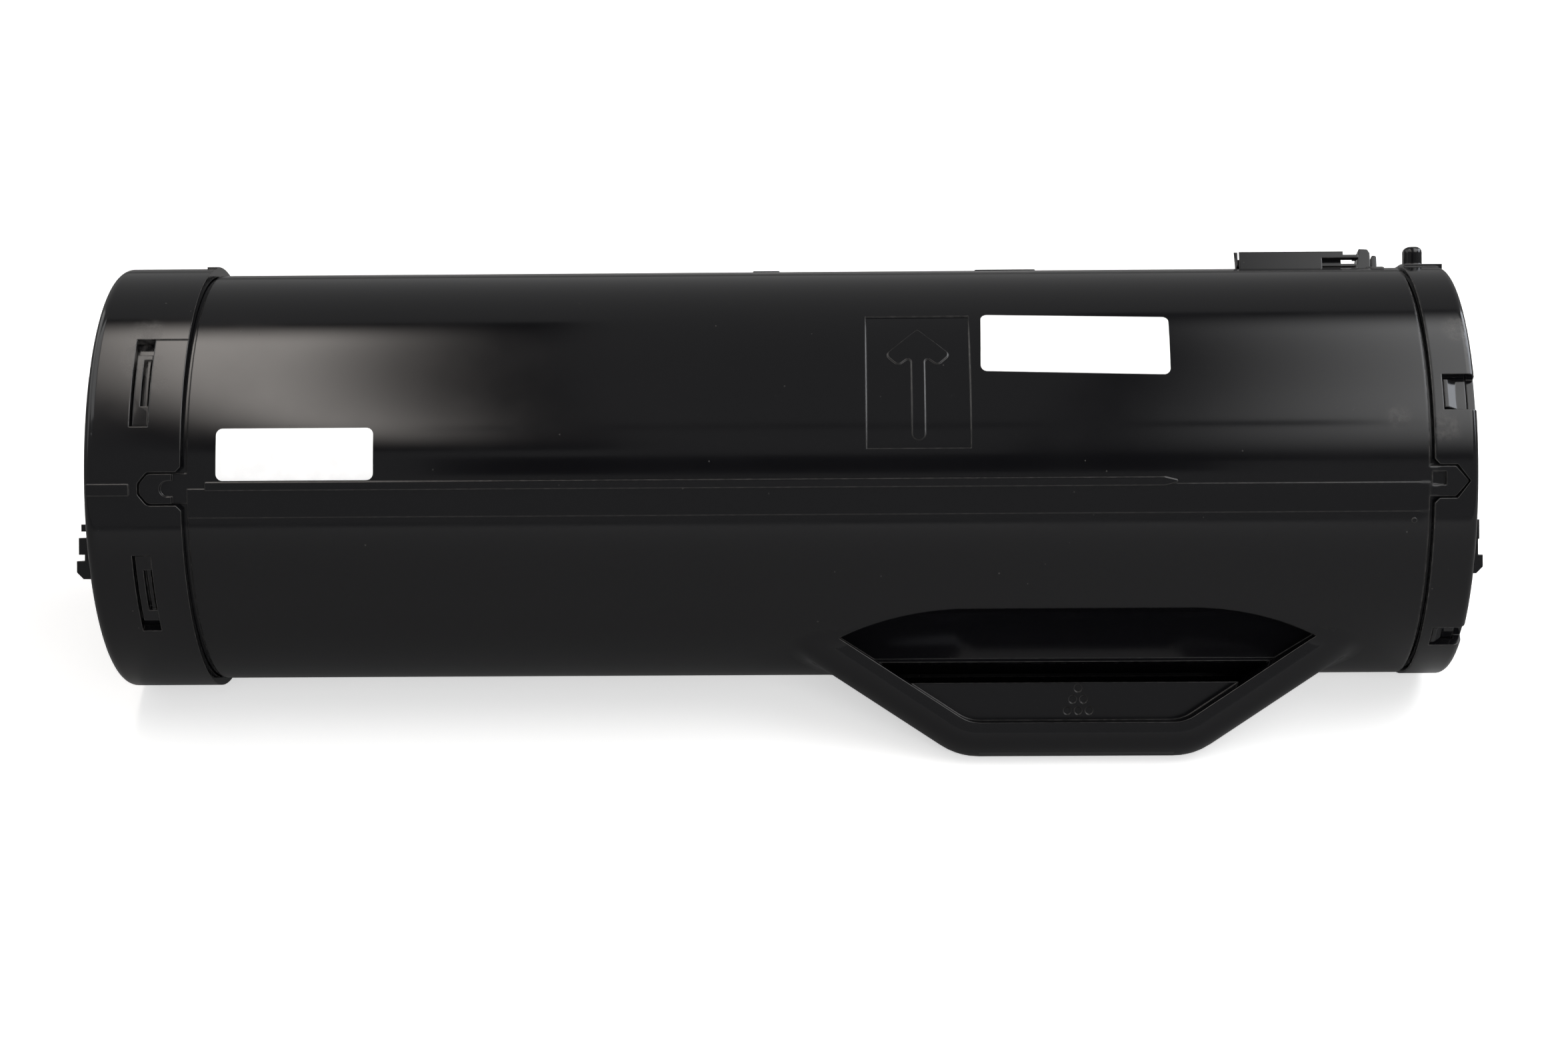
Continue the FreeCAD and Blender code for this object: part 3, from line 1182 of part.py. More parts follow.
def fill_plug():
    """Cup-shaped plug pressed into the fill hole, with its flange outside."""
    face = BODY_LENGTH
    body = disc(face - FILL_PLUG_DEPTH, face + 0.5, FILL_R - HAIR_GAP, FILL_Y, FILL_Z)
    flange = disc(face, face + 1.2, FILL_R + FILL_FLANGE, FILL_Y, FILL_Z)
    inside = disc(face - FILL_PLUG_DEPTH + FILL_PLUG_WALL, face + 3,
                  FILL_R - HAIR_GAP - FILL_PLUG_WALL, FILL_Y, FILL_Z)
    return body.fuse(flange).cut(inside)


def chip_board():
    top = BODY_R + CHIP_SEAT_RISE - CHIP_PAD - 0.2
    return turned(block((CHIP_X - CHIP_LENGTH / 2, CHIP_X + CHIP_LENGTH / 2),
                        (-CHIP_WIDTH / 2, CHIP_WIDTH / 2), (top - CHIP_BOARD, top)), CHIP_ANGLE)


def chip_contacts():
    """Contact pads of the chip board, as separate thin solids."""
    top = BODY_R + CHIP_SEAT_RISE - CHIP_PAD - 0.2
    pitch = CHIP_LENGTH / CHIP_PADS
    pads = []
    for index in range(CHIP_PADS):
        x = CHIP_X + (index - (CHIP_PADS - 1) / 2) * pitch
        pads.append(block((x - pitch * 0.36, x + pitch * 0.36),
                          (-CHIP_WIDTH * 0.36, CHIP_WIDTH * 0.36), (top, top + CHIP_PAD)))
    return turned(Part.makeCompound(pads), CHIP_ANGLE)


def label(start, length, width, angle, slant):
    """A thin blank label wrapped on the tube, slightly slanted where it was stuck askew."""
    centre = start + length / 2
    turn = math.radians(slant)
    points = []
    for u, t in ((-1, -1), (1, -1), (1, 1), (-1, 1)):
        u = u * length / 2
        t = t * width / 2
        points.append((centre + u * math.cos(turn) - t * math.sin(turn),
                       u * math.sin(turn) + t * math.cos(turn)))
    inner = BODY_R + LABEL_LIFT
    return on_shell(points, [LABEL_CORNER] * 4, inner, inner + LABEL_THICK, angle)


def build():
    nodes = {"toner_tank": toner_tank(),
             "drive_end_cap": drive_end_cap(),
             "outlet_end_cap": outlet_end_cap(),
             "tank_end_plate": tank_end_plate(),
             "plate_gasket": gasket_ring(0),
             "shaft_bush": shaft_bush(),
             "shaft_seal": shaft_seal(),
             "idler_gear": idler_gear(),
             "drive_coupling": drive_coupling(),
             "agitator_gear": agitator_gear(),
             "agitator_shaft": agitator_shaft(),
             "agitator_film_upper": agitator_film(1),
             "agitator_film_lower": agitator_film(-1),
             "film_clamp_upper": film_clamp(1),
             "film_clamp_lower": film_clamp(-1),
             "port_frame": port_frame(),
             "port_seal": port_seal(),
             "port_shutter": port_shutter(),
             "fill_plug": fill_plug(),
             "chip_board": chip_board(),
             "chip_contacts": chip_contacts(),
             "label_left": label(LEFT_LABEL_START, LEFT_LABEL_LENGTH, LEFT_LABEL_WIDTH,
                                 LEFT_LABEL_ANGLE, 0.0),
             "label_right": label(BODY_LENGTH - RIGHT_LABEL_BACK, RIGHT_LABEL_LENGTH,
                                  RIGHT_LABEL_WIDTH, RIGHT_LABEL_ANGLE, RIGHT_LABEL_SLANT)}
    return nodes


def resting_roll():
    """Roll about X, in degrees, that lets the handle's nose and the drive cap touch the floor."""
    distance = math.hypot(NOSE_CENTRE_Y, NOSE_CENTRE_Z)
    lean = math.atan2(-NOSE_CENTRE_Y, -NOSE_CENTRE_Z)
    return math.degrees(math.acos((DRIVE_CAP_R - NOSE_R) / distance) - lean)


def put_down(nodes):
    """Rolls the cartridge to rest and puts the origin on the floor under its middle."""
    for shape in nodes.values():
        shape.rotate(Vector(0, 0, 0), Vector(1, 0, 0), -resting_roll())
    whole = Part.makeCompound(list(nodes.values())).optimalBoundingBox(False)
    middle = Vector(-(whole.XMin + whole.XMax) / 2, -(whole.YMin + whole.YMax) / 2, -whole.ZMin)
    for shape in nodes.values():
        shape.translate(middle)
    return middle


if __name__ == "__main__":
    parts = build()
    shift = put_down(parts)
    print("roll", round(resting_roll(), 4), "shift", [round(v, 4) for v in shift])
    for name, shape in parts.items():
        solids = len(shape.Solids)
        print(f"{name:22s} solids {solids} volume {shape.Volume:10.2f} valid {shape.isValid()}")
        shape.exportStep(os.path.join("parts", name + ".step"))
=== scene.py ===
import bpy
import json
import math
from mathutils import Matrix, Vector

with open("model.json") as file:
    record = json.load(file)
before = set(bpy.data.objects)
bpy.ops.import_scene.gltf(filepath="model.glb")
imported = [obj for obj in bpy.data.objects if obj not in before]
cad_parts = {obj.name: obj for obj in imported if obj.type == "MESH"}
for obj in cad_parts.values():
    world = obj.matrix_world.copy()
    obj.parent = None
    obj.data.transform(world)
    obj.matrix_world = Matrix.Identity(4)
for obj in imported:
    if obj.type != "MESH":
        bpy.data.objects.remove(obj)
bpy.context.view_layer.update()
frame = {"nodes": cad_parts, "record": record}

# Millimetres in a metre
MM = 1000.0
# The tube's middle in the row frame and its radius, in metres, and its roll about X in degrees
TUBE_X = -0.0049
TUBE_Y = 0.0016159
TUBE_Z = 0.051772
TUBE_R = 0.050
TUBE_ROLL = 26.5
# A surface is the tube's where it lies no deeper than this under the tube's radius, in mm, and
# where its facet looks out from the axis: the least cosine, and the most it may lean along X
TUBE_DEPTH = 0.6
TUBE_FACING = 0.985
TUBE_LEAN = 0.01


def linear(code):
    """An sRGB hex colour as linear RGBA."""
    values = []
    for start in (1, 3, 5):
        c = int(code[start:start + 2], 16) / 255
        values.append(c / 12.92 if c <= 0.04045 else ((c + 0.055) / 1.055) ** 2.4)
    return (*values, 1.0)


def add(tree, kind, settings=None, **sockets):
    """Adds a node with its settings. A socket takes a value, a node or another node's socket."""
    node = tree.nodes.new("ShaderNode" + kind)
    for key, value in (settings or {}).items():
        setattr(node, key, value)
    for key, value in sockets.items():
        number = key[1:]
        socket = node.inputs[int(number) if number.isdigit() else key.replace("_", " ")]
        if isinstance(value, bpy.types.Node):
            value = value.outputs[0]
        if isinstance(value, bpy.types.NodeSocket):
            tree.links.new(value, socket)
        else:
            socket.default_value = value
    return node


def new_material(name):
    """An empty node material, its tree, and the object coordinates in millimetres."""
    material = bpy.data.materials.new(name)
    material.use_nodes = True
    tree = material.node_tree
    tree.nodes.clear()
    place = add(tree, "TexCoord").outputs["Object"]
    scaled = add(tree, "VectorMath", {"operation": "SCALE"}, _0=place, Scale=MM)
    return material, tree, scaled


def finish_material(material, tree, shader):
    """Wires the shader to the material's output and returns the material."""
    add(tree, "OutputMaterial", Surface=shader)
    return material


def tube_normal(tree, place):
    """The true round normal wherever the surface lies on the tube, so facets don't show."""
    out = add(tree, "VectorMath", {"operation": "MULTIPLY"}, _1=(0, 1, 1), _0=add(
        tree, "VectorMath", {"operation": "SUBTRACT"}, _0=place,
        _1=(0, TUBE_Y * MM, TUBE_Z * MM)))
    radius = add(tree, "VectorMath", {"operation": "LENGTH"}, _0=out)
    round_normal = add(tree, "VectorMath", {"operation": "NORMALIZE"}, _0=out)
    geometry = add(tree, "NewGeometry")
    along = add(tree, "VectorMath", {"operation": "DOT_PRODUCT"},
                _0=geometry.outputs["True Normal"], _1=round_normal)
    lean = add(tree, "Math", {"operation": "ABSOLUTE"}, _0=add(
        tree, "SeparateXYZ", Vector=geometry.outputs["True Normal"]).outputs["X"])
    level = add(tree, "Math", {"operation": "LESS_THAN"}, _0=lean, _1=TUBE_LEAN)
    facing = add(tree, "Math", {"operation": "MULTIPLY"}, _0=level, _1=add(
        tree, "Math", {"operation": "GREATER_THAN"}, _0=along.outputs["Value"],
        _1=TUBE_FACING))
    on_tube = add(tree, "Math", {"operation": "GREATER_THAN"}, _0=radius.outputs["Value"],
                  _1=TUBE_R * MM - TUBE_DEPTH)
    both = add(tree, "Math", {"operation": "MULTIPLY"}, _0=facing, _1=on_tube)
    mix = add(tree, "Mix", {"data_type": "VECTOR"}, _0=both, _4=geometry.outputs["Normal"],
              _5=round_normal)
    return mix.outputs[1]


# Rubbed places of the black plastic: the middle and the radius in row millimetres, and the
# strength
SCUFFS = (((-149.0, -25.5, 95.8), 6.5, 1.0), ((-148.8, -18.6, 99.5), 6.0, 0.8),
          ((-144.6, -30.7, 92.2), 3.5, 0.6), ((160.8, -17.6, 98.4), 5.0, 1.0),
          ((144.8, -36.4, 84.2), 4.0, 0.5), ((155.5, -38.2, 82.5), 5.0, 0.7))
# The snap pad in the upper window, in row millimetres, where a painted highlight whitens the
# plastic
PAINTED_PAD_HIGHLIGHT = (-150.3, -24.2, 96.3)
# The tube's end at the outlet cap, in row millimetres, whose edge is the roundest
OUTLET_SEAM_X = 151.85
# Radius in metres of the moulded edges, at that seam and elsewhere
SEAM_EDGE = 0.0009
MOULDED_EDGE = 0.0004


def black_polystyrene():
    """Injection-moulded polystyrene: deep black with a wet gloss. Long flow ripples bend the
    reflections, a painted highlight lays a thin pale line along the edges, rubbed places turn
    grey, and a painted highlight whitens the snap pad."""
    material, tree, place = new_material("black_polystyrene")
    normal = tube_normal(tree, place)
    beside_seam = add(tree, "Math", {"operation": "ABSOLUTE"}, _0=add(
        tree, "Math", {"operation": "SUBTRACT"}, _1=OUTLET_SEAM_X,
        _0=add(tree, "SeparateXYZ", Vector=place).outputs["X"]))
    rounding = add(tree, "MapRange", Value=beside_seam, From_Min=1.6, From_Max=2.6,
                   To_Min=SEAM_EDGE, To_Max=MOULDED_EDGE)
    edge = add(tree, "Bevel", {"samples": 8}, Radius=rounding, Normal=normal)

    # Flow ripple 50 mm long and 14 mm wide, streaks 14 mm long and 0.9 mm wide, grain of 0.7 mm
    flow = add(tree, "Mapping", Vector=place, Scale=(0.02, 0.07, 0.07))
    ripple = add(tree, "TexNoise", Vector=flow, Scale=1.0, Detail=2.0)
    long_way = add(tree, "Mapping", Vector=place, Scale=(0.07, 1.1, 1.1))
    streak = add(tree, "TexNoise", Vector=long_way, Scale=1.0, Detail=4.0, Roughness=0.6)
    grain = add(tree, "TexNoise", Vector=place, Scale=1.4, Detail=3.0)
    relief = add(tree, "Math", {"operation": "MULTIPLY_ADD"}, _0=grain, _1=0.0010,
                 _2=add(tree, "Math", {"operation": "MULTIPLY_ADD"}, _0=streak, _1=0.0008,
                        _2=add(tree, "Math", {"operation": "MULTIPLY"}, _0=ripple, _1=0.012)))
    bump = add(tree, "Bump", Strength=0.35, Distance=0.001, Height=relief, Normal=edge)

    # Rubbed places: a ragged grey haze inside each one's radius, in patches of 2 mm
    ragged = add(tree, "TexNoise", Vector=place, Scale=0.55, Detail=3.0, Roughness=0.5)
    torn = add(tree, "MapRange", {"interpolation_type": "SMOOTHSTEP"}, Value=ragged,
               From_Min=0.30, From_Max=0.80, To_Max=0.6)
    rubbed = 0.0
    for middle, radius, strength in SCUFFS:
        away = add(tree, "VectorMath", {"operation": "DISTANCE"}, _0=place, _1=middle)
        inside = add(tree, "MapRange", {"interpolation_type": "SMOOTHSTEP"},
                     Value=away.outputs["Value"], From_Min=radius, From_Max=radius * 0.3,
                     To_Max=strength)
        rubbed = add(tree, "Math", {"operation": "MAXIMUM"}, _0=rubbed, _1=inside)
    haze = add(tree, "Math", {"operation": "MULTIPLY"}, _0=rubbed, _1=torn)
    # A painted highlight on the snap pad: a whitish colour fading out 4.2 mm from its middle
    away = add(tree, "VectorMath", {"operation": "DISTANCE"}, _0=place, _1=PAINTED_PAD_HIGHLIGHT)
    pad_highlight_paint = add(tree, "MapRange", {"interpolation_type": "SMOOTHSTEP"},
                  Value=away.outputs["Value"], From_Min=4.2, From_Max=1.0, To_Max=0.85)
    haze = add(tree, "Math", {"operation": "MAXIMUM"}, _0=haze, _1=pad_highlight_paint)

    # Dust specks about 0.4 mm wide, 4.5 mm apart, in drifts 20 mm wide
    grit = add(tree, "TexVoronoi", Vector=place, Scale=0.22)
    speck = add(tree, "MapRange", Value=grit.outputs["Distance"], From_Min=0.055, From_Max=0.035,
                To_Max=0.35)
    few = add(tree, "TexNoise", Vector=place, Scale=0.05, Detail=1.0)
    sparse = add(tree, "MapRange", Value=few, From_Min=0.48, From_Max=0.6)
    dust = add(tree, "Math", {"operation": "MULTIPLY"}, _0=speck, _1=sparse)

    # A painted highlight: a pale line in the colour on moulded edges, where the rounded normal
    # turns, stronger and weaker along its length
    flat = add(tree, "VectorMath", {"operation": "DOT_PRODUCT"}, _0=edge, _1=normal)
    painted_edge_highlight = add(tree, "MapRange", Value=flat.outputs["Value"], From_Min=0.98, From_Max=0.75,
               To_Max=add(tree, "MapRange", Value=ragged, From_Min=0.4, From_Max=0.65,
                          To_Min=0.3, To_Max=0.6))
    # The pale colour holds dust, rubbed wear, the painted pad highlight and the painted edge
    # highlight
    pale = add(tree, "Math", {"operation": "MAXIMUM"}, _0=dust,
               _1=add(tree, "Math", {"operation": "MAXIMUM"}, _0=painted_edge_highlight, _1=haze))
    tone = add(tree, "Mix", {"data_type": "RGBA"}, _0=pale, _6=linear("#0b0b0d"),
               _7=linear("#5a5856"))

    # The gloss is cloudy, in patches of 40 mm, and dull where the plastic is pale
    cloud = add(tree, "TexNoise", Vector=place, Scale=0.026, Detail=4.0, Roughness=0.6)
    sheen = add(tree, "MapRange", Value=cloud, From_Min=0.3, From_Max=0.7, To_Min=0.09,
                To_Max=0.15)
    rough = add(tree, "Math", {"operation": "MULTIPLY_ADD"}, _0=pale, _1=0.35, _2=sheen)
    shader = add(tree, "BsdfPrincipled", Base_Color=tone.outputs[2], IOR=1.48, Roughness=rough,
                 Normal=bump)
    return finish_material(material, tree, shader)


def moulded(name, colour, fleck, roughness, grain_mm=2.5, subsurface=0.0):
    """A moulded plastic: a slight mottle in its colour and sheen, and finely rounded edges."""
    material, tree, place = new_material(name)
    mottle = add(tree, "TexNoise", Vector=place, Scale=1 / grain_mm, Detail=3.0)
    tone = add(tree, "Mix", {"data_type": "RGBA"}, _6=linear(colour), _7=linear(fleck),
               _0=add(tree, "MapRange", Value=mottle, From_Min=0.35, From_Max=0.65))
    rough = add(tree, "MapRange", Value=mottle, From_Min=0.3, From_Max=0.7,
                To_Min=roughness - 0.05, To_Max=roughness + 0.05)
    edge = add(tree, "Bevel", {"samples": 4}, Radius=0.00015)
    bump = add(tree, "Bump", Strength=0.2, Distance=0.0002, Height=mottle, Normal=edge)
    shader = add(tree, "BsdfPrincipled", IOR=1.49, Base_Color=tone.outputs[2], Roughness=rough,
                 Subsurface_Weight=subsurface, Subsurface_Scale=0.002, Normal=bump)
    return finish_material(material, tree, shader)


def sheet_metal(name, colour, roughness):
    """Rolled or plated metal: fine rolling lines along its length stretch the highlights."""
    material, tree, place = new_material(name)
    rolled_way = add(tree, "Mapping", Vector=place, Scale=(0.15, 4.0, 4.0))
    lines = add(tree, "TexNoise", Vector=rolled_way, Scale=1.0, Detail=4.0, Roughness=0.6)
    rough = add(tree, "MapRange", Value=lines, From_Min=0.3, From_Max=0.7,
                To_Min=roughness - 0.07, To_Max=roughness + 0.07)
    bump = add(tree, "Bump", Strength=0.15, Distance=0.0001, Height=lines)
    shader = add(tree, "BsdfPrincipled", Metallic=1.0, Base_Color=linear(colour),
                 Roughness=rough, Normal=bump)
    return finish_material(material, tree, shader)


def closed_cell_foam():
    """Cut polyurethane foam: dull, with open cells 0.6 mm wide on its cut faces, their hollows
    darkened by painted shade.
    """
    material, tree, place = new_material("closed_cell_foam")
    cells = add(tree, "TexVoronoi", Vector=place, Scale=1 / 0.6)
    # Painted shade: each cell is darker towards its hollow middle
    tone = add(tree, "Mix", {"data_type": "RGBA"}, _0=cells.outputs["Distance"],
               _6=linear("#101011"), _7=linear("#2b2b2c"))
    bump = add(tree, "Bump", Strength=0.7, Distance=0.0003, Height=cells.outputs["Distance"])
    shader = add(tree, "BsdfPrincipled", Base_Color=tone.outputs[2], Roughness=0.92, Normal=bump)
    return finish_material(material, tree, shader)


def pressed_felt():
    """Pressed wool felt: matt, with short fibres that cross each way."""
    material, tree, place = new_material("pressed_felt")
    one_way = add(tree, "Mapping", Vector=place, Scale=(0.5, 3.5, 1.2))
    other_way = add(tree, "Mapping", Vector=place, Scale=(3.0, 0.6, 3.5))
    first = add(tree, "TexNoise", Vector=one_way, Scale=1.0, Detail=4.0)
    second = add(tree, "TexNoise", Vector=other_way, Scale=1.0, Detail=4.0)
    fibres = add(tree, "Math", {"operation": "MAXIMUM"}, _0=first, _1=second)
    tone = add(tree, "Mix", {"data_type": "RGBA"}, _6=linear("#8f897f"), _7=linear("#b9b3a8"),
               _0=add(tree, "MapRange", Value=fibres, From_Min=0.45, From_Max=0.7))
    bump = add(tree, "Bump", Strength=0.6, Distance=0.0003, Height=fibres)
    shader = add(tree, "BsdfPrincipled", Base_Color=tone.outputs[2], Roughness=0.95, Normal=bump)
    return finish_material(material, tree, shader)


def polyester_film():
    """Stiff clear-grey polyester film: smooth, half see-through, with a faint wave."""
    material, tree, place = new_material("polyester_film")
    wave = add(tree, "TexNoise", Vector=place, Scale=0.08, Detail=1.0)
    rough = add(tree, "MapRange", Value=wave, From_Min=0.3, From_Max=0.7, To_Min=0.12,
                To_Max=0.22)
    bump = add(tree, "Bump", Strength=0.3, Distance=0.0005, Height=wave)
    shader = add(tree, "BsdfPrincipled", Base_Color=linear("#c2c6c9"), IOR=1.6,
                 Transmission_Weight=0.45, Roughness=rough, Normal=bump)
    return finish_material(material, tree, shader)


def solder_mask():
    """Glass-fibre board under green lacquer: the weave shows through as a fine check."""
    material, tree, place = new_material("green_solder_mask")
    weave = add(tree, "TexWave", {"bands_direction": "X"}, Vector=place, Scale=0.5,
                Distortion=0.4)
    cross = add(tree, "TexWave", {"bands_direction": "Y"}, Vector=place, Scale=0.5,
                Distortion=0.4)
    check = add(tree, "Math", {"operation": "MULTIPLY"}, _0=weave, _1=cross)
    tone = add(tree, "Mix", {"data_type": "RGBA"}, _0=check, _6=linear("#174f26"),
               _7=linear("#1f6331"))
    bump = add(tree, "Bump", Strength=0.1, Distance=0.0001, Height=check)
    shader = add(tree, "BsdfPrincipled", Base_Color=tone.outputs[2], IOR=1.5, Roughness=0.35,
                 Coat_Weight=0.5, Coat_Roughness=0.1, Normal=bump)
    return finish_material(material, tree, shader)


def label_paper():
    """Blank self-adhesive paper label: bright white and matt, with a faint fibre cloud."""
    material, tree, place = new_material("blank_label_paper")
    cloud = add(tree, "TexNoise", Vector=place, Scale=0.35, Detail=4.0)
    tone = add(tree, "Mix", {"data_type": "RGBA"}, _6=linear("#f3f3f3"), _7=linear("#f8f8f8"),
               _0=add(tree, "MapRange", Value=cloud, From_Min=0.35, From_Max=0.65))
    tooth = add(tree, "TexNoise", Vector=place, Scale=3.0, Detail=3.0)
    bump = add(tree, "Bump", Strength=0.08, Distance=0.0001, Height=tooth)
    shader = add(tree, "BsdfPrincipled", Base_Color=tone.outputs[2], IOR=1.45, Roughness=0.6,
                 Normal=bump)
    return finish_material(material, tree, shader)


FINISHES = {
    "black_gloss": black_polystyrene(),
    # Moulded polystyrene inside the cap: black with a half-dull sheen
    "black_inner": moulded("satin_black_polystyrene", "#141415", "#1b1b1c", 0.42),
    # Uncoloured moulded acetal of the gears: milky white, waxy, and a little see-through
    "acetal": moulded("natural_acetal", "#dcd9cf", "#e4e1d8", 0.38, grain_mm=3.0,
                      subsurface=0.15),
    # Moulded acetal coloured dark grey, for the coupling: a waxy sheen
    "coupling": moulded("grey_acetal", "#2c2c2f", "#333336", 0.36),
    "film": polyester_film(),
    # Cold-rolled steel strip: bright grey with lines along it
    "clamp_steel": sheet_metal("rolled_steel", "#a8a8a6", 0.34),
    "foam": closed_cell_foam(),
    "felt": pressed_felt(),
    # Uncoloured moulded polyethylene of the plug: soft white, and a little see-through
    "natural_plastic": moulded("natural_polyethylene", "#d8d6ce", "#e0ded7", 0.4,
                               grain_mm=4.0, subsurface=0.2),
    "board": solder_mask(),
    # Gold plating on the chip's contacts: warm yellow, smoother than the steel
    "contact_gold": sheet_metal("gold_plated_contact", "#d2a94f", 0.24),
    "label": label_paper(),
}

slots = {part["node"]: part["material_slot"] for part in frame["record"]["subparts"]}
for name, node in frame["nodes"].items():
    node.data.materials.clear()
    node.data.materials.append(FINISHES[slots[name]])


# Floor, lights and camera

# The floor's colour to soft light, in the part's gloss and to the camera
FLOOR_GREY = "#cbcbcb"
FLOOR_IN_GLOSS = "#989898"
FLOOR_SEEN = "#f6f6f6"
FLOOR_SIZE = 12.0
# What the camera sees added to the floor, near the part and far off, and the span between in mm
FLOOR_LIFT = 0.5
FAR_LIFT = 1.0
NEAR_RADIUS = 700.0
FAR_RADIUS = 1800.0
# How bright the white surround is in gloss and as light, where the camera sees 1
SURROUND_SHARE = 0.264
SOFTBOX_HEIGHT = 1.05
FILL_WATTS = 27


def staged_plane(name, place, size, turn=(0, 0, 0)):
    """A flat sheet of the studio that the camera can't see itself."""
    bpy.ops.object.select_all(action="DESELECT")
    bpy.ops.mesh.primitive_plane_add(size=1.0, location=place, rotation=turn)
    sheet = bpy.context.object
    sheet.scale = (*size, 1)
    sheet.name = name
    sheet.visible_camera = False
    return sheet


def softbox(name, x_soft, y_soft, radiance, slant=0.0, tint="#ffffff"):
    """A diffuser overhead. x_soft and y_soft say where its glow starts, is full, is full still
    and ends. It fades twice as fast at its high x, and slant leans its low x edge."""
    x_low, x_full_low, x_full_high, x_high = x_soft
    y_low, y_full_low, y_full_high, y_high = y_soft
    middle = ((x_low + x_high) / 2, (y_low + y_high) / 2)
    sheet = staged_plane(name, (*middle, SOFTBOX_HEIGHT), (x_high - x_low, y_high - y_low),
                         (math.pi, 0, 0))
    material = bpy.data.materials.new(name)
    material.use_nodes = True
    tree = material.node_tree
    tree.nodes.clear()
    spot = add(tree, "SeparateXYZ", Vector=add(tree, "NewGeometry").outputs["Position"])
    leaning = add(tree, "Math", {"operation": "MULTIPLY_ADD"}, _0=spot.outputs["Y"], _1=slant,
                  _2=spot.outputs["X"])
    glow = radiance
    for start, axis, (low, full_low, full_high, high), fade in (
            (leaning, spot.outputs["X"], x_soft, 2.0),
            (spot.outputs["Y"], spot.outputs["Y"], y_soft, 1.0)):
        rise = add(tree, "MapRange", {"interpolation_type": "SMOOTHSTEP"}, Value=start,
                   From_Min=low, From_Max=full_low)
        fall = add(tree, "MapRange", {"interpolation_type": "SMOOTHSTEP"}, Value=axis,
                   From_Min=high, From_Max=full_high)
        faded = add(tree, "Math", {"operation": "POWER"}, _0=fall, _1=fade)
        both = add(tree, "Math", {"operation": "MULTIPLY"}, _0=rise, _1=faded)
        glow = add(tree, "Math", {"operation": "MULTIPLY"}, _0=glow, _1=both)
    light = add(tree, "Emission", Color=linear(tint), Strength=glow)
    sheet.data.materials.append(finish_material(material, tree, light))


def card(name, place, size, turn, shade, strength=1.0):
    """A sheet that shows in the gloss only, as a dark band or a bright edge."""
    sheet = staged_plane(name, place, size, turn)
    material, tree, _ = new_material(name)
    light = add(tree, "Emission", Color=linear(shade), Strength=strength)
    sheet.data.materials.append(finish_material(material, tree, light))
    sheet.visible_diffuse = False


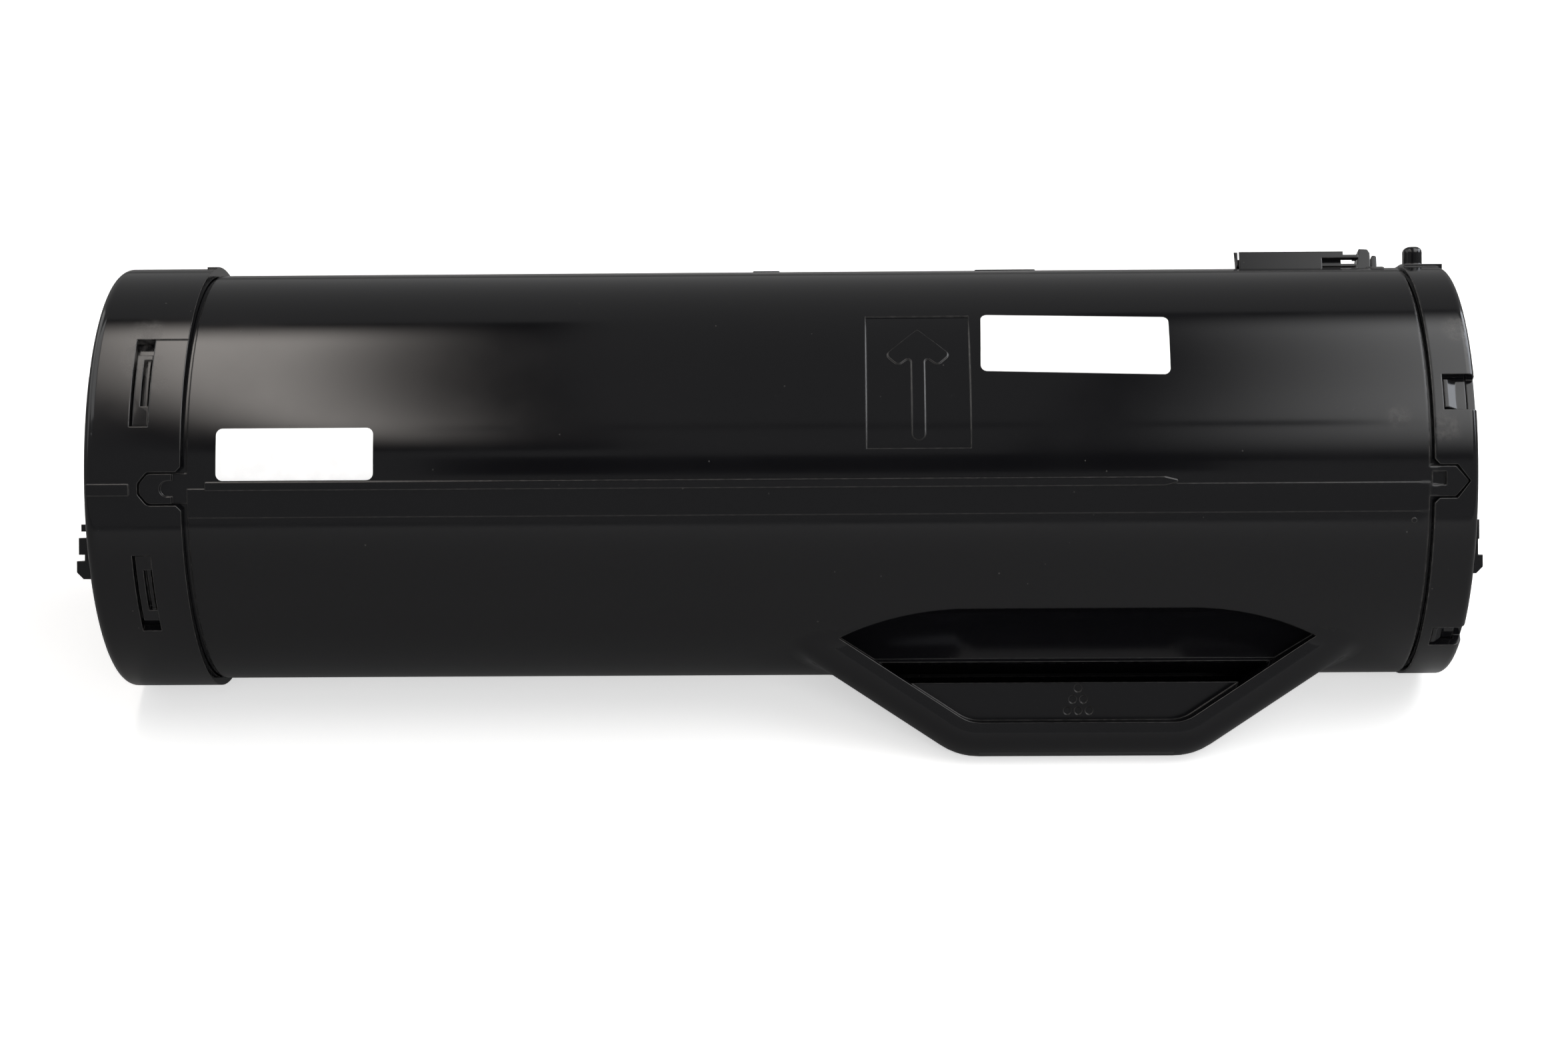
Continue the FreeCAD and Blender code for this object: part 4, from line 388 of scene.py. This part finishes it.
def studio():
    """A pale floor, a white surround, two soft boxes overhead, cards that show in the gloss, and
    a soft lamp in front."""
    bpy.ops.object.select_all(action="DESELECT")
    bpy.ops.mesh.primitive_plane_add(size=FLOOR_SIZE, location=(0, 0, 0))
    floor = bpy.context.object
    floor.name = "studio_floor"
    material, tree, place = new_material("pale_floor")
    rays = add(tree, "LightPath")
    direct = add(tree, "Math", {"operation": "MAXIMUM"}, _0=rays.outputs["Is Camera Ray"],
                 _1=rays.outputs["Is Transmission Ray"])
    away = add(tree, "VectorMath", {"operation": "LENGTH"}, _0=place)
    share = add(tree, "MapRange", {"interpolation_type": "SMOOTHSTEP"},
                Value=away.outputs["Value"], From_Min=NEAR_RADIUS, From_Max=FAR_RADIUS,
                To_Min=FLOOR_LIFT, To_Max=FAR_LIFT)
    lift = add(tree, "Emission", Strength=add(
        tree, "Math", {"operation": "MULTIPLY"}, _0=direct, _1=share))
    grey = add(tree, "Mix", {"data_type": "RGBA"}, _0=rays.outputs["Is Glossy Ray"],
               _6=linear(FLOOR_GREY), _7=linear(FLOOR_IN_GLOSS))
    pale = add(tree, "Mix", {"data_type": "RGBA"}, _0=direct, _6=grey.outputs[2],
               _7=linear(FLOOR_SEEN))
    paint = add(tree, "BsdfDiffuse", Color=pale.outputs[2])
    floor.data.materials.append(
        finish_material(material, tree, add(tree, "AddShader", _0=paint, _1=lift)))

    world = bpy.data.worlds.new("studio_surround")
    bpy.context.scene.world = world
    world.use_nodes = True
    tree = world.node_tree
    tree.nodes.clear()
    rays = add(tree, "LightPath")
    direct = add(tree, "Math", {"operation": "MAXIMUM"}, _0=rays.outputs["Is Camera Ray"],
                 _1=rays.outputs["Is Transmission Ray"])
    seen = add(tree, "Math", {"operation": "MAXIMUM"}, _1=direct, _0=SURROUND_SHARE)
    add(tree, "OutputWorld", Surface=add(tree, "Background", Color=linear("#ffffff"),
                                         Strength=seen))

    # The left one gives the warm bright patch on the tube, the right one its grey end
    softbox("left_softbox", (-0.44, -0.32, -0.31, -0.14), (-1.2, -0.62, 0.25, 0.59), 5.8,
            slant=0.06, tint="#fff8f2")
    softbox("right_softbox", (0.15, 0.45, 1.10, 1.14), (-1.6, -0.35, 0.32, 0.70), 3.5)

    # Two dark cards on the camera's side give the dark bands along the tube. The bright ones
    # light the rounded edges of the end caps.
    upright = math.radians(90)
    card("camera_side_card", (0.01, -0.728, 0.492), (0.38, 0.146),
         (upright - math.radians(30.5), 0, 0), "#0a0a0a")
    card("lamp_arm_card", (0.05, -0.62, 0.845), (0.5, 0.05), (upright - math.radians(52), 0, 0),
         "#6a6a6a")
    card("right_window", (1.15, 0.45, 0.69), (0.72, 1.3), (0, -upright, 0), "#f4f8ff", 4.5)
    card("left_wall", (-1.06, 0.40, 0.69), (0.7, 1.4), (0, upright, 0), "#ffffff", 1.2)
    card("left_ceiling", (-0.76, 0.0, 1.04), (0.60, 1.2), (math.pi, 0, 0), "#ffffff", 1.7)

    data = bpy.data.lights.new("front_fill", "AREA")
    data.shape = "RECTANGLE"
    data.size, data.size_y = 1.2, 0.8
    data.energy = FILL_WATTS
    lamp = bpy.data.objects.new("front_fill", data)
    bpy.context.scene.collection.objects.link(lamp)
    lamp.location = (0.25, -1.6, 0.9)
    towards = Vector((0, 0, 0.05)) - lamp.location
    lamp.rotation_euler = towards.to_track_quat("-Z", "Y").to_euler()
    lamp.visible_glossy = False


# The photograph's width and the camera's focal length, in its pixels, and the film's width in mm
PHOTO_WIDTH = 2352
FOCAL_LENGTH = 4751
FILM_WIDTH = 36.0
# The camera's place before the cartridge is rolled, in mm, and its turns in degrees
CAMERA_PLACE = (19.2, -787.3, -5.8)
CAMERA_YAW = 0.97
CAMERA_PITCH = -0.46
CAMERA_ROLL = -0.34


def rolled(point_mm):
    """A point of the unrolled cartridge, in millimetres, as a place in the row frame."""
    turn = Matrix.Rotation(math.radians(-TUBE_ROLL), 3, "X")
    return turn @ Vector(point_mm) / MM + Vector((TUBE_X, TUBE_Y, TUBE_Z))


def photograph_camera():
    """The camera, level with the tube and turned with it."""
    data = bpy.data.cameras.new("camera")
    data.sensor_width = FILM_WIDTH
    data.lens = FOCAL_LENGTH / PHOTO_WIDTH * FILM_WIDTH
    data.clip_start = 0.01
    camera = bpy.data.objects.new("camera", data)
    bpy.context.scene.collection.objects.link(camera)
    yaw, pitch, roll = map(math.radians, (CAMERA_YAW, CAMERA_PITCH, CAMERA_ROLL))
    turn = (Matrix.Rotation(yaw, 3, "Z") @ Matrix.Rotation(pitch, 3, "X")
            @ Matrix.Rotation(-roll, 3, "Y") @ Matrix.Rotation(math.radians(90), 3, "X"))
    turn = Matrix.Rotation(math.radians(-TUBE_ROLL), 3, "X") @ turn
    camera.matrix_world = turn.to_4x4()
    camera.location = rolled(CAMERA_PLACE)
    bpy.context.scene.camera = camera


studio()
photograph_camera()
bpy.context.scene.view_settings.view_transform = "Standard"
